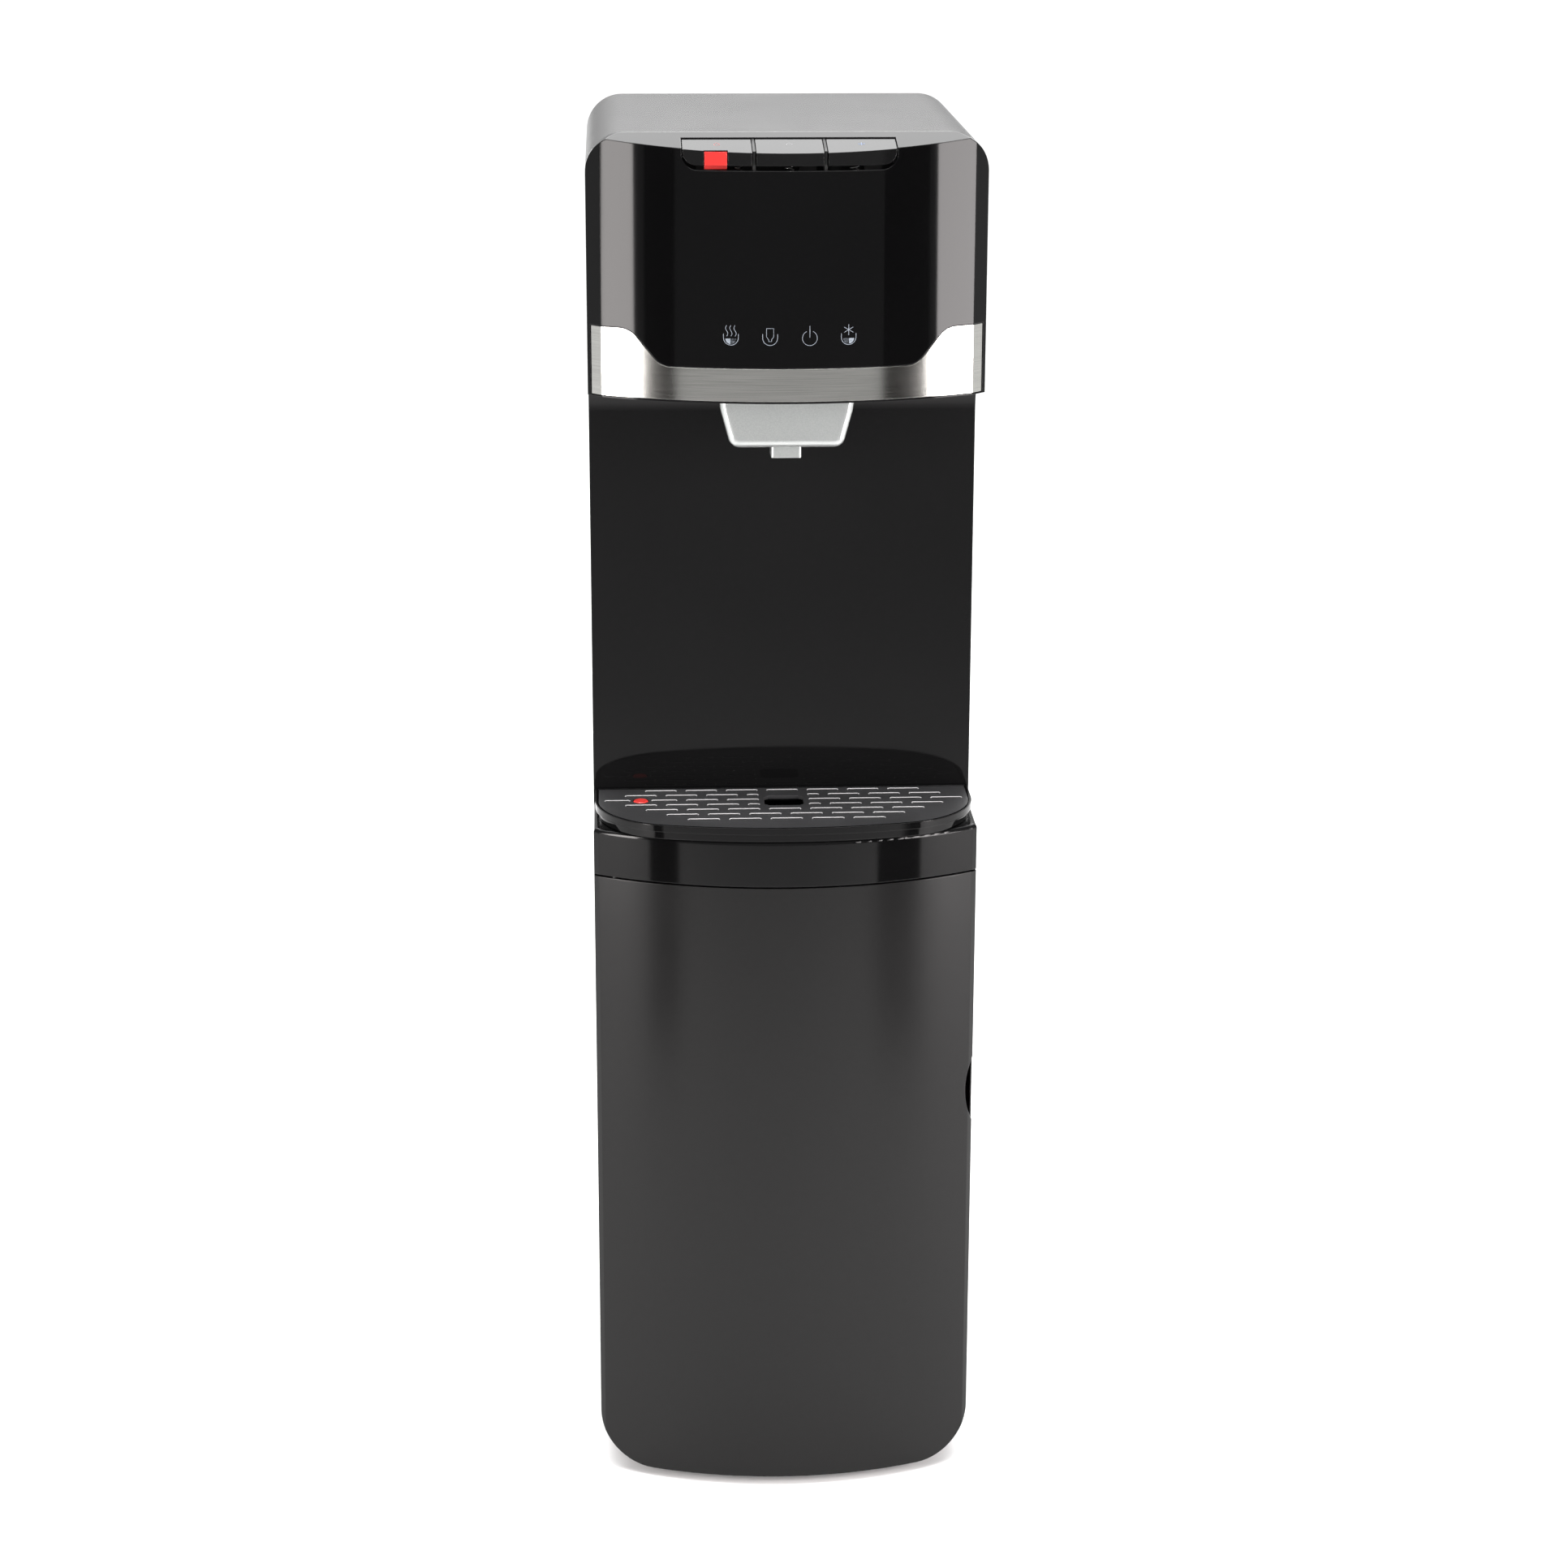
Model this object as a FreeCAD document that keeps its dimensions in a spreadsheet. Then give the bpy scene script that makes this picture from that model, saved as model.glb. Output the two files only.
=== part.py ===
import FreeCAD, Part
import math
import os
import re
import Sketcher

# Floor-standing water dispenser that holds its bottle in the lower cabinet.
# Millimetres. X runs to the right, Y to the back and Z up. The origin is on the
# floor, under the middle of the outer box. The front looks along -Y.

doc = FreeCAD.newDocument("water_dispenser")
dims = doc.addObject("Spreadsheet::Sheet", "dims")
SIZES = {
    "width": 300, "depth": 350, "height": 1085,
    "tray_lip": 3, "front_radius": 300, "head_crease": 139.5, "low_crease": 146.5,
    "shell": 2.5, "sheet": 1, "gap": 0.3,
    "foot_height": 8, "low_corner": 42, "low_side": 50, "door_top": 511, "band_low": 512.5,
    "shelf_top": 549, "tray_rim": 561, "head_low": 890, "skirt_low": 1044, "top_corner": 29,
    "mould_back": -124, "door_back": -129.5, "alcove_wall": -60, "panel_back": 156.5,
    "top_slope": 12, "button_half": 78.6, "button_low": 1065, "recess_low": 1061.5,
    "button_back": -138, "rib_x": 26.3, "hinge_x": -134, "hinge_y": -134.5,
    "trim_mid": 916, "trim_end": 943, "pan_floor": 11, "platform_top": 18, "mid_shelf": 541,
    "tank_shelf": 715, "tray_half": 148.5, "tray_corner": 70, "tray_radius": 400,
}
for row, (word, number) in enumerate(SIZES.items(), start=1):
    dims.set(f"A{row}", word)
    dims.set(f"B{row}", str(number))
    dims.setAlias(f"B{row}", word)
doc.recompute()

FRONT = "(tray_lip - depth / 2)"
BACK = "(depth / 2)"
SIDE = "(width / 2)"


def sheet_terms(expression):
    """The expression with every sheet word pointing at the sheet."""
    return re.sub(r"[a-z_]+", lambda word: "dims." + word[0] if word[0] in SIZES else word[0], str(expression))


def size(expression):
    """The number that an expression in sheet words stands for now."""
    return float(dims.evalExpression(sheet_terms(expression)))


def bind(thing, **properties):
    """Hold properties to sheet expressions. Two underscores stand for a dot."""
    for name, expression in properties.items():
        thing.setExpression(name.replace("__", "."), sheet_terms(expression))


def place(thing, x=0, y=0, z=0):
    """Hold the thing's own Placement to the sheet."""
    bind(thing, Placement__Base__x=x, Placement__Base__y=y, Placement__Base__z=z)
    return thing


def body(name):
    return doc.addObject("PartDesign::Body", name)


def origin_plane(owner, role):
    return next(plane for plane in owner.Origin.OriginFeatures if plane.Role == role)


def sketch_on(owner, name, role, level):
    """Empty sketch on one of the body's origin planes, lifted to a level along X, Y or Z."""
    sketch = owner.newObject("Sketcher::SketchObject", name)
    sketch.AttachmentSupport = (origin_plane(owner, role), "")
    sketch.MapMode = "FlatFace"
    # The XZ plane's normal points to -Y, so its offset is the level with its sign turned.
    offset = f"-({level})" if role == "XZ_Plane" else level
    bind(sketch, AttachmentOffset__Base__z=offset)
    return sketch


def arc_between(start, end, radius, side):
    """Arc of a circle from start to end. Side +1 puts its centre to the left of the way."""
    chord = end - start
    half = chord.Length / 2
    left = FreeCAD.Vector(-chord.y, chord.x, 0).normalize()
    centre = (start + end) / 2 + left * side * math.sqrt(radius ** 2 - half ** 2)
    first, last = (start, end) if side > 0 else (end, start)
    angles = [math.atan2(point.y - centre.y, point.x - centre.x) for point in (first, last)]
    if angles[1] < angles[0]:
        angles[1] += 2 * math.pi
    circle = Part.Circle(centre, FreeCAD.Vector(0, 0, 1), radius)
    return Part.ArcOfCircle(circle, *angles)


def outline(owner, name, role, level, corners):
    """Closed sketch through corners (across, up), each corner held to the sheet.

    A corner (across, up, radius, side) makes the edge to the next corner an arc."""
    sketch = sketch_on(owner, name, role, level)
    points = [FreeCAD.Vector(size(corner[0]), size(corner[1]), 0) for corner in corners]
    starts = []
    ends = []
    for index, corner in enumerate(corners):
        here = points[index]
        there = points[(index + 1) % len(points)]
        if len(corner) == 2:
            sketch.addGeometry(Part.LineSegment(here, there))
            starts.append(1)
            ends.append(2)
            continue
        sketch.addGeometry(arc_between(here, there, size(corner[2]), corner[3]))
        starts.append(1 if corner[3] > 0 else 2)
        ends.append(2 if corner[3] > 0 else 1)
    for index, corner in enumerate(corners):
        after = (index + 1) % len(corners)
        sketch.addConstraint(Sketcher.Constraint("Coincident", index, ends[index], after, starts[after]))
        for kind, expression, value in (("DistanceX", corner[0], points[index].x),
                                        ("DistanceY", corner[1], points[index].y)):
            number = sketch.addConstraint(Sketcher.Constraint(kind, -1, 1, index, starts[index], value))
            sketch.setExpression(f"Constraints[{number}]", sheet_terms(expression))
        if len(corner) > 2:
            number = sketch.addConstraint(Sketcher.Constraint("Radius", index, size(corner[2])))
            sketch.setExpression(f"Constraints[{number}]", sheet_terms(corner[2]))
    return sketch


def discs(owner, name, role, level, circles):
    """Sketch of full circles (across, up, radius), held to the sheet."""
    sketch = sketch_on(owner, name, role, level)
    for index, (across, up, radius) in enumerate(circles):
        centre = FreeCAD.Vector(size(across), size(up), 0)
        sketch.addGeometry(Part.Circle(centre, FreeCAD.Vector(0, 0, 1), size(radius)))
        for kind, expression, value in (("DistanceX", across, centre.x), ("DistanceY", up, centre.y)):
            number = sketch.addConstraint(Sketcher.Constraint(kind, -1, 1, index, 3, value))
            sketch.setExpression(f"Constraints[{number}]", sheet_terms(expression))
        number = sketch.addConstraint(Sketcher.Constraint("Radius", index, size(radius)))
        sketch.setExpression(f"Constraints[{number}]", sheet_terms(radius))
    return sketch


def rectangle(left, low, right, top):
    return [(left, low), (right, low), (right, top), (left, top)]


def grow(owner, sketch, length):
    """Pad the sketch along its plane's normal."""
    pad = owner.newObject("PartDesign::Pad", sketch.Name + "_pad")
    pad.Profile = sketch
    bind(pad, Length=length)
    doc.recompute()
    return pad


def hollow(owner, sketch, length):
    """Pocket along the plane's normal, checked by the volume that it takes."""
    before = owner.Shape.Volume
    pocket = owner.newObject("PartDesign::Pocket", sketch.Name + "_pocket")
    pocket.Profile = sketch
    pocket.Reversed = True
    bind(pocket, Length=length)
    doc.recompute()
    if owner.Shape.Volume > before - 0.01:
        raise RuntimeError(f"{sketch.Name} cuts nothing")
    return pocket


def pad_z(owner, name, corners, low, high):
    return grow(owner, outline(owner, name, "XY_Plane", low, corners), f"({high}) - ({low})")


def cut_z(owner, name, corners, low, high):
    return hollow(owner, outline(owner, name, "XY_Plane", low, corners), f"({high}) - ({low})")


def pad_y(owner, name, corners, near, far):
    return grow(owner, outline(owner, name, "XZ_Plane", far, corners), f"({far}) - ({near})")


def cut_y(owner, name, corners, near, far):
    return hollow(owner, outline(owner, name, "XZ_Plane", far, corners), f"({far}) - ({near})")


def pad_x(owner, name, corners, left, right):
    return grow(owner, outline(owner, name, "YZ_Plane", left, corners), f"({right}) - ({left})")


def cut_x(owner, name, corners, left, right):
    return hollow(owner, outline(owner, name, "YZ_Plane", left, corners), f"({right}) - ({left})")


def bore_z(owner, name, circles, low, high):
    return hollow(owner, discs(owner, name, "XY_Plane", low, circles), f"({high}) - ({low})")


def bore_y(owner, name, circles, near, far):
    return hollow(owner, discs(owner, name, "XZ_Plane", far, circles), f"({far}) - ({near})")


def post_z(owner, name, circles, low, high):
    return grow(owner, discs(owner, name, "XY_Plane", low, circles), f"({high}) - ({low})")


def round_edges(owner, name, radius, wanted):
    """Fillet the edges of the body's last feature that the test wants."""
    names = [f"Edge{number}" for number, edge in enumerate(owner.Shape.Edges, start=1) if wanted(edge)]
    base = owner.Tip
    fillet = owner.newObject("PartDesign::Fillet", name)
    fillet.Base = (base, names)
    bind(fillet, Radius=radius)
    doc.recompute()
    if "Invalid" in fillet.State:
        raise RuntimeError(f"{name} fails on {names}")
    return fillet


def turned(name, corners):
    """Body turned about its own Z axis from a half outline (radius, height)."""
    owner = body(name)
    sketch = outline(owner, name + "_half", "XZ_Plane", 0, corners)
    turn = owner.newObject("PartDesign::Revolution", name + "_turn")
    turn.Profile = sketch
    turn.ReferenceAxis = (sketch, ["V_Axis"])
    turn.Angle = 360
    doc.recompute()
    return owner


def block(name, x, y, z):
    """Part::Box between (low, high) pairs of sheet expressions."""
    box = doc.addObject("Part::Box", name)
    bind(box, Length=f"({x[1]}) - ({x[0]})", Width=f"({y[1]}) - ({y[0]})", Height=f"({z[1]}) - ({z[0]})")
    return place(box, x[0], y[0], z[0])


def rod(name, radius, length, x, y, z, axis="Z"):
    """Part::Cylinder from a point along an axis."""
    cylinder = doc.addObject("Part::Cylinder", name)
    bind(cylinder, Radius=radius, Height=length)
    place(cylinder, x, y, z)
    turns = {"Z": (0, 0, 1, 0), "Y": (1, 0, 0, -90), "X": (0, 1, 0, 90)}[axis]
    cylinder.Placement.Rotation = FreeCAD.Rotation(FreeCAD.Vector(*turns[:3]), turns[3])
    return cylinder


def cut(name, base, *tools):
    """The base with the tools taken away."""
    tool = tools[0] if len(tools) == 1 else group(name + "_tools", tools, "Part::MultiFuse")
    result = doc.addObject("Part::Cut", name)
    result.Base = base
    result.Tool = tool
    return result


def common(name, first, second):
    result = doc.addObject("Part::Common", name)
    result.Base = first
    result.Tool = second
    return result


def group(name, things, kind="Part::Compound"):
    """Several objects as one: a compound of separate solids, or one fused solid."""
    result = doc.addObject(kind, name)
    if kind == "Part::Compound":
        result.Links = list(things)
    else:
        result.Shapes = list(things)
    return result


def fused(name, *things):
    return group(name, things, "Part::MultiFuse")


nodes = []


def node(thing, label):
    """Name a finished sub-part and list it for export."""
    thing.Label = label
    nodes.append(thing)
    return thing


# ---- outlines that several mouldings share -------------------------------------------

def front_outline(crease, inset, back):
    """Plan of a moulding with the bowed front: an arc, a 45 degree facet and straight sides."""
    radius = f"(front_radius - {inset})"
    edge = f"({crease} - {inset} * 0.45)"
    bow = f"({FRONT} + front_radius - sqrt({radius} ^ 2 - {edge} ^ 2))"
    side = f"({SIDE} - {inset})"
    facet = f"({bow} + {side} - {edge})"
    return [(f"-{side}", back), (f"-{side}", facet), (f"-{edge}", bow, radius, 1),
            (edge, bow), (side, facet), (side, back)]


def tray_outline(inset, back):
    """Plan of the drip tray: a long bow, two big round corners and a straight back."""
    side = f"(tray_half - {inset})"
    radius = f"(tray_corner - {inset})"
    long_radius = f"(tray_radius - {inset})"
    near = f"(-(depth / 2) + {inset})"
    # The corner circle touches the side and the bow, which fixes its centre.
    centre_x = "(tray_half - tray_corner)"
    centre_y = f"(-(depth / 2) + tray_radius - sqrt((tray_radius - tray_corner) ^ 2 - {centre_x} ^ 2))"
    reach = f"({centre_x} / (tray_radius - tray_corner))"
    touch_x = f"({long_radius} * {reach})"
    touch_y = f"({near} + {long_radius} - {long_radius} * sqrt(1 - {reach} ^ 2))"
    return [(f"-{side}", back), (f"-{side}", centre_y, radius, 1), (f"-{touch_x}", touch_y, long_radius, 1),
            (touch_x, touch_y, radius, 1), (side, centre_y), (side, back)]


def base_outline(inset, top):
    """Front view of the foot of the body: a flat floor with two big round corners."""
    radius = f"(low_corner - {inset})"
    side = f"({SIDE} - {inset})"
    flat = f"({SIDE} - low_corner)"
    floor = f"(foot_height + {inset})"
    rolled = [(f"-{side}", "low_side", radius, 1), (f"-{flat}", floor), (flat, floor, radius, 1),
              (side, "low_side")]
    if top == "low_side":
        return rolled
    return [(f"-{side}", top)] + rolled + [(side, top)]


def top_outline(inset, low):
    """Front view of the top of the body: a flat top with two round corners."""
    radius = f"(top_corner - {inset})"
    side = f"({SIDE} - {inset})"
    flat = f"({SIDE} - top_corner)"
    start = "(height - top_corner)"
    roof = f"(height - {inset})"
    return [(f"-{side}", low), (side, low), (side, start, radius, 1), (flat, roof),
            (f"-{flat}", roof, radius, 1), (f"-{side}", start)]


def head_solid(name, inset, low, back):
    """The bowed, sloping front of the head as a solid, every face moved in by the inset."""
    owner = body(name)
    pad_z(owner, name + "_plan", front_outline("head_crease", inset, back), low, "height")
    shoulder = body(name + "_front_view")
    pad_y(shoulder, name + "_corners", top_outline(inset, f"{low} - 1"), "-depth", "0")
    top = f"(height - {inset} / cos(top_slope))"
    cut_x(shoulder, name + "_slope",
          [("mould_back", top), ("mould_back", "height + 5"), ("-depth", "height + 5"),
           ("-depth", f"{top} - (depth + mould_back) * tan(top_slope)")],
          "-width", "width")
    return common(name + "_form", owner, shoulder)


# ---- base, platform and feet ---------------------------------------------------------

def base_pan():
    """Moulded pan with rolled lower corners. Its front is low, so that the bottle slides in."""
    pan = body("pan")
    pad_y(pan, "pan_outside", base_outline(0, "low_side"), "-125", "panel_back - 0.5")
    cut_y(pan, "pan_inside", base_outline(3, "low_side + 1"), "-122", "panel_back - 3.5")
    cut_y(pan, "pan_doorway", rectangle("-131", "platform_top", "131", "low_side + 1"), "-126", "-121")
    # Room for the door's hinge edge, which turns into this corner as the door opens.
    bore_z(pan, "pan_swing", [("hinge_x", "hinge_y", 17.6)], 19.5, 60)
    cut_z(pan, "pan_hinge_notch", rectangle(-138, -126, -103, -116), 16.4, 25)
    bore_z(pan, "pan_foot_holes", [(x, y, 4.05) for x in (-88, 88) for y in (-92, 126)], 7, 12)
    node(pan, "base_pan")


def bottle_platform():
    """Plate that the bottle stands on, with a shallow round dish that centres it."""
    plate = body("platform")
    reach = "(sqrt((low_corner - 3.3) ^ 2 - (low_side - platform_top) ^ 2))"
    flat = f"({SIDE} - low_corner)"
    corners = [(f"-({flat} + {reach})", "platform_top", "low_corner - 3.3", 1), (f"-{flat}", "foot_height + 3.3"),
               (flat, "foot_height + 3.3", "low_corner - 3.3", 1), (f"{flat} + {reach}", "platform_top")]
    pad_y(plate, "platform_section", corners, "-121.6", "panel_back - 4")
    bore_z(plate, "platform_dish", [(0, 10, 116)], "platform_top - 3", "platform_top + 1")
    cut_z(plate, "platform_hinge_notch", rectangle(-140, -122, -100, -90), 11, "platform_top + 1")
    node(plate, "bottle_platform")


def levelling_feet():
    """Four rubber feet, each with a stud that goes up into the pan."""
    feet = []
    for x in (-88, 88):
        for y in (-92, 126):
            foot = turned(f"foot_{x + 88}_{y + 92}",
                          [(0, 0), (13, 0), (15, 2), (15, "foot_height"), (4, "foot_height"),
                           (4, "pan_floor"), (0, "pan_floor")])
            feet.append(place(foot, x, y, 0))
    node(group("feet", feet), "levelling_feet")


# ---- steel skins ---------------------------------------------------------------------

SCREW_HEIGHTS = (90, 330, 570, 800, 1020)


def side_panel(label, hand):
    """Folded sheet side, cut back beside the alcove, with a screw flange along its back edge."""
    panel = body(label + "_sheet")
    near, far = ("width / 2 - sheet", "width / 2") if hand > 0 else ("-width / 2", "-width / 2 + sheet")
    corners = [(-125.5, "low_side + gap"), ("panel_back - 0.5", "low_side + gap"),
               ("panel_back - 0.5", "skirt_low - gap"), ("mould_back + 0.3", "skirt_low - gap"),
               ("mould_back + 0.3", "head_low"), ("alcove_wall + 15.5", "head_low"),
               ("alcove_wall + 15.5", "shelf_top - 4.5"), (-125.5, "shelf_top - 4.5")]
    pad_x(panel, label + "_face", corners, near, far)
    inner, outer = ("width / 2 - 13", "width / 2 - sheet + 0.1") if hand > 0 else \
                   ("-width / 2 + sheet - 0.1", "-width / 2 + 13")
    pad_z(panel, label + "_flange", rectangle(inner, "panel_back - 1.5", outer, "panel_back - 0.5"),
          "low_side + 10", "skirt_low - 6")
    bore_y(panel, label + "_screw_holes", [(hand * 143, z, 1.95) for z in SCREW_HEIGHTS],
           "panel_back - 3", "panel_back + 1")
    node(panel, label)


def back_panel():
    """Steel back with louvres behind the compressor and openings for the rear fittings."""
    panel = body("rear_sheet")
    pad_y(panel, "rear_face", rectangle("-width / 2 + 1.5", "low_side + 2", "width / 2 - 1.5", "skirt_low - 1"),
          "panel_back - 0.4", "panel_back + 0.8")
    bore_y(panel, "rear_screw_holes", [(x, z, 1.95) for x in (-143, 143) for z in SCREW_HEIGHTS],
           "panel_back - 1", "panel_back + 1")
    for row in range(9):
        low = 640 + 9 * row
        cut_y(panel, f"louvre_{row}", rectangle(-70, low, 70, low + 4), "panel_back - 1", "panel_back + 1")
    bore_y(panel, "gland_hole", [(100, 600, 9.1)], "panel_back - 1", "panel_back + 1")
    bore_y(panel, "drain_hole", [(-100, 600, 10.1)], "panel_back - 1", "panel_back + 1")
    for x in (-85, -115):
        cut_y(panel, f"rocker_hole_{-x}", rectangle(x - 6.6, 969.5, x + 6.6, 990.5),
              "panel_back - 1", "panel_back + 1")
    node(panel, "back_panel")


def back_panel_screws():
    """Pan-head screws down both edges of the back panel."""
    screws = []
    for hand in (-1, 1):
        for z in SCREW_HEIGHTS:
            name = f"screw_{hand + 1}_{z}"
            head = rod(name + "_head", 4, 2, hand * 143, "panel_back + 0.8", z, "Y")
            shank = rod(name + "_shank", 1.9, 8, hand * 143, "panel_back - 7", z, "Y")
            screws.append(fused(name, head, shank))
    node(group("rear_screws", screws), "back_panel_screws")


def condenser():
    """Serpentine tube with wires on both sides, standing off the back panel."""
    radius = 2.4
    left, right, low, pitch, passes = -110, 110, 130, 40, 10
    y = size("panel_back") + 10.5
    edges = []
    for step in range(passes):
        z = low + step * pitch
        edges.append(Part.makeLine((left, y, z), (right, y, z)))
        if step < passes - 1:
            end, bulge = (right, 1) if step % 2 == 0 else (left, -1)
            middle = (end + bulge * pitch / 2, y, z + pitch / 2)
            edges.append(Part.Arc(FreeCAD.Vector(end, y, z), FreeCAD.Vector(*middle),
                                  FreeCAD.Vector(end, y, z + pitch)).toShape())
    path = Part.Wire(Part.__sortEdges__(edges))
    start = path.OrderedVertexes[0].Point
    profile = Part.Wire(Part.makeCircle(radius, start, FreeCAD.Vector(1, 0, 0)))
    solids = [path.makePipeShell([profile], True, False)]
    wire = 0.8
    for step in range(19):
        x = -108 + step * 12
        for hand in (-1, 1):
            centre = FreeCAD.Vector(x, y + hand * (radius + wire + 0.05), low - 14)
            solids.append(Part.makeCylinder(wire, pitch * (passes - 1) + 28, centre))
    coil = doc.addObject("Part::Feature", "condenser_grid")
    coil.Shape = Part.makeCompound(solids)
    node(coil, "condenser")


# ---- lower housing, door and hinges --------------------------------------------------

def lower_housing():
    """Fixed band over the door and the shelf that carries the drip tray, in one moulding."""
    band = body("band")
    pad_z(band, "band_plan", front_outline("low_crease", 0, "alcove_wall - gap"), "band_low", "shelf_top")
    round_edges(band, "band_edge", 3, lambda edge: edge.BoundBox.ZMin > size("shelf_top") - 0.1
                and edge.BoundBox.YMin < size("mould_back"))
    cut_z(band, "band_inside", front_outline("low_crease", "shell", "-40"), "band_low - 1", "shelf_top - shell")
    for hand, (near, far) in (("left", ("-width", "-width / 2 + 1.4")), ("right", ("width / 2 - 1.4", "width"))):
        cut_z(band, f"band_{hand}_side", rectangle(near, -126.2, far, "-40"), "band_low - 1", "shelf_top - 4.2")
    node(band, "lower_housing")


def door_outline_front(inset, low_inset):
    """Front view of the door: square top corners and the body's round lower corners."""
    return base_outline(low_inset, f"door_top - {inset}")


def door_form(name, inset):
    plan = body(name + "_plan_form")
    pad_z(plan, name + "_plan", front_outline("low_crease", inset, "door_back" if inset == 0 else "door_back + 5"),
          "foot_height - 2", "door_top + 2")
    face = body(name + "_face_form")
    pad_y(face, name + "_face", door_outline_front(inset, inset), "-depth", "0")
    return common(name, plan, face)


def door_skin():
    """Bowed outer shell of the door, with a finger scoop in its free edge."""
    shell = cut("door_shell", door_form("door_outside", 0), door_form("door_inside", 2.5))
    scoop = rod("scoop", 63.75, 60, f"{SIDE} + 57.75", -170, 328, "Y")
    pin_hole = rod("skin_pin_hole", 2.3, 20, "hinge_x", "hinge_y", 500)
    notch = block("skin_hinge_notch", (-139, -127.5), (-137.5, -120), (5, 23))
    node(cut("door_skin_cut", shell, scoop, pin_hole, notch), "door_skin")


def door_liner():
    """Flat inner panel of the door, with the two hinge bosses."""
    liner = body("liner")
    pad_y(liner, "liner_face", base_outline(4.8, "door_top - 3"), "door_back - 1.8", "door_back")
    boss = "(door_back - 1.2)"
    for name, low, high in (("low", 23.5, 40), ("high", 492, 507.5)):
        post_z(liner, f"liner_{name}_boss", [("hinge_x", "hinge_y", 2.8)], low, high)
        pad_z(liner, f"liner_{name}_web", rectangle("hinge_x - 2", "hinge_y", "hinge_x + 6", boss), low, high)
        bore_z(liner, f"liner_{name}_bore", [("hinge_x", "hinge_y", 1.8)], low - 1, high + 1)
    cut_y(liner, "liner_hinge_notch", rectangle(-150, 5, -116, 20.6), -132, -120)
    cut_y(liner, "liner_magnet_seat", rectangle(116.8, 479.8, 137.2, 500.2), "door_back - 1", "door_back + 1")
    form = rod("liner_scoop", 66.75, 40, f"{SIDE} + 57.75", -150, 328, "Y")
    node(cut("liner_cut", liner, form), "door_liner")


def door_catch():
    """Magnet in the door and the steel strike that it meets on the cabinet."""
    node(block("magnet", (117, 137), ("door_back - 0.9", "door_back"), (480, 500)), "door_magnet")
    plate = block("strike_face", (115, 139), ("door_back + 0.3", "door_back + 1.8"), (478, "mid_shelf - 1"))
    foot = block("strike_foot", (115, 139), ("door_back + 1", "-110.2"), ("mid_shelf - 2.5", "mid_shelf - 1"))
    node(fused("strike", plate, foot), "catch_plate")


def hinges():
    """Pressed steel hinge plates with fixed pins. The door's bosses turn on the pins."""
    lower = body("low_hinge")
    pad_z(lower, "low_hinge_arm", [("hinge_x - 2", "hinge_y - 1.8"), ("hinge_x + 2", "hinge_y - 1.8"),
                                   (-117, -125), (-104, -118), (-104, -94), (-128, -94), (-128, -121.5),
                                   ("hinge_x - 2", "hinge_y + 2")], 16.7, 19.2)
    post_z(lower, "low_hinge_eye", [("hinge_x", "hinge_y", 2.7)], 16.7, 19.2)
    post_z(lower, "low_hinge_pin", [("hinge_x", "hinge_y", 1.75)], 18, 36)
    node(lower, "lower_hinge")
    upper = body("high_hinge")
    pad_z(upper, "high_hinge_arm", rectangle("hinge_x - 1.9", "hinge_y - 2", "hinge_x + 14", -110.2), 513, 515)
    pad_z(upper, "high_hinge_flange", rectangle("hinge_x - 4", -112, "hinge_x + 14", -110.2), 513, 538)
    post_z(upper, "high_hinge_pin", [("hinge_x", "hinge_y", 1.75)], 496, 514)
    node(upper, "upper_hinge")


# ---- drip tray -----------------------------------------------------------------------

def drip_tray():
    """Shallow tray that pulls out forwards, with a lip all round and a ledge for the grille."""
    tray = body("tray")
    back = "alcove_wall - 1"
    pad_z(tray, "tray_wall", tray_outline(2.6, "alcove_wall - 3.6"), "shelf_top + gap", "tray_rim - 5")
    pad_z(tray, "tray_lip", tray_outline(0, back), "tray_rim - 5.5", "tray_rim")
    cut_z(tray, "tray_ledge", tray_outline(2.2, "alcove_wall - 3.2"), "tray_rim - 3.4", "tray_rim + 1")
    cut_z(tray, "tray_basin", tray_outline(5, "alcove_wall - 6"), "shelf_top + 2.3", "tray_rim + 1")
    node(tray, "drip_tray")


FLOAT_X = -112.7
SLOT_PITCH = 32.2
SLOT_HALF = 12.3


def grille_slots():
    """Spans (from x, to x, distance behind the bow) of the staggered slots.

    Each row's outermost slot lies a number of half pitches out. Slots stop short of the
    finger hole and of the float."""
    for row, reach in enumerate((3, 3.5, 4, 3.5, 3, 2.5, 2)):
        behind = 103 - 12.9 * row
        keep_out = []
        if row in (1, 2, 3):
            keep_out.append((0, 19.6))
        if row == 2:
            keep_out.append((FLOAT_X, 8.6))
        for step in range(int(2 * reach) + 1):
            middle = (step - reach) * SLOT_PITCH
            left, right = middle - SLOT_HALF, middle + SLOT_HALF
            for centre, reserve in keep_out:
                if left < centre < right:
                    left = right
                elif centre <= left < centre + reserve:
                    left = centre + reserve
                elif centre - reserve < right <= centre:
                    right = centre - reserve
            if right - left > 6:
                yield left, right, behind


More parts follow.
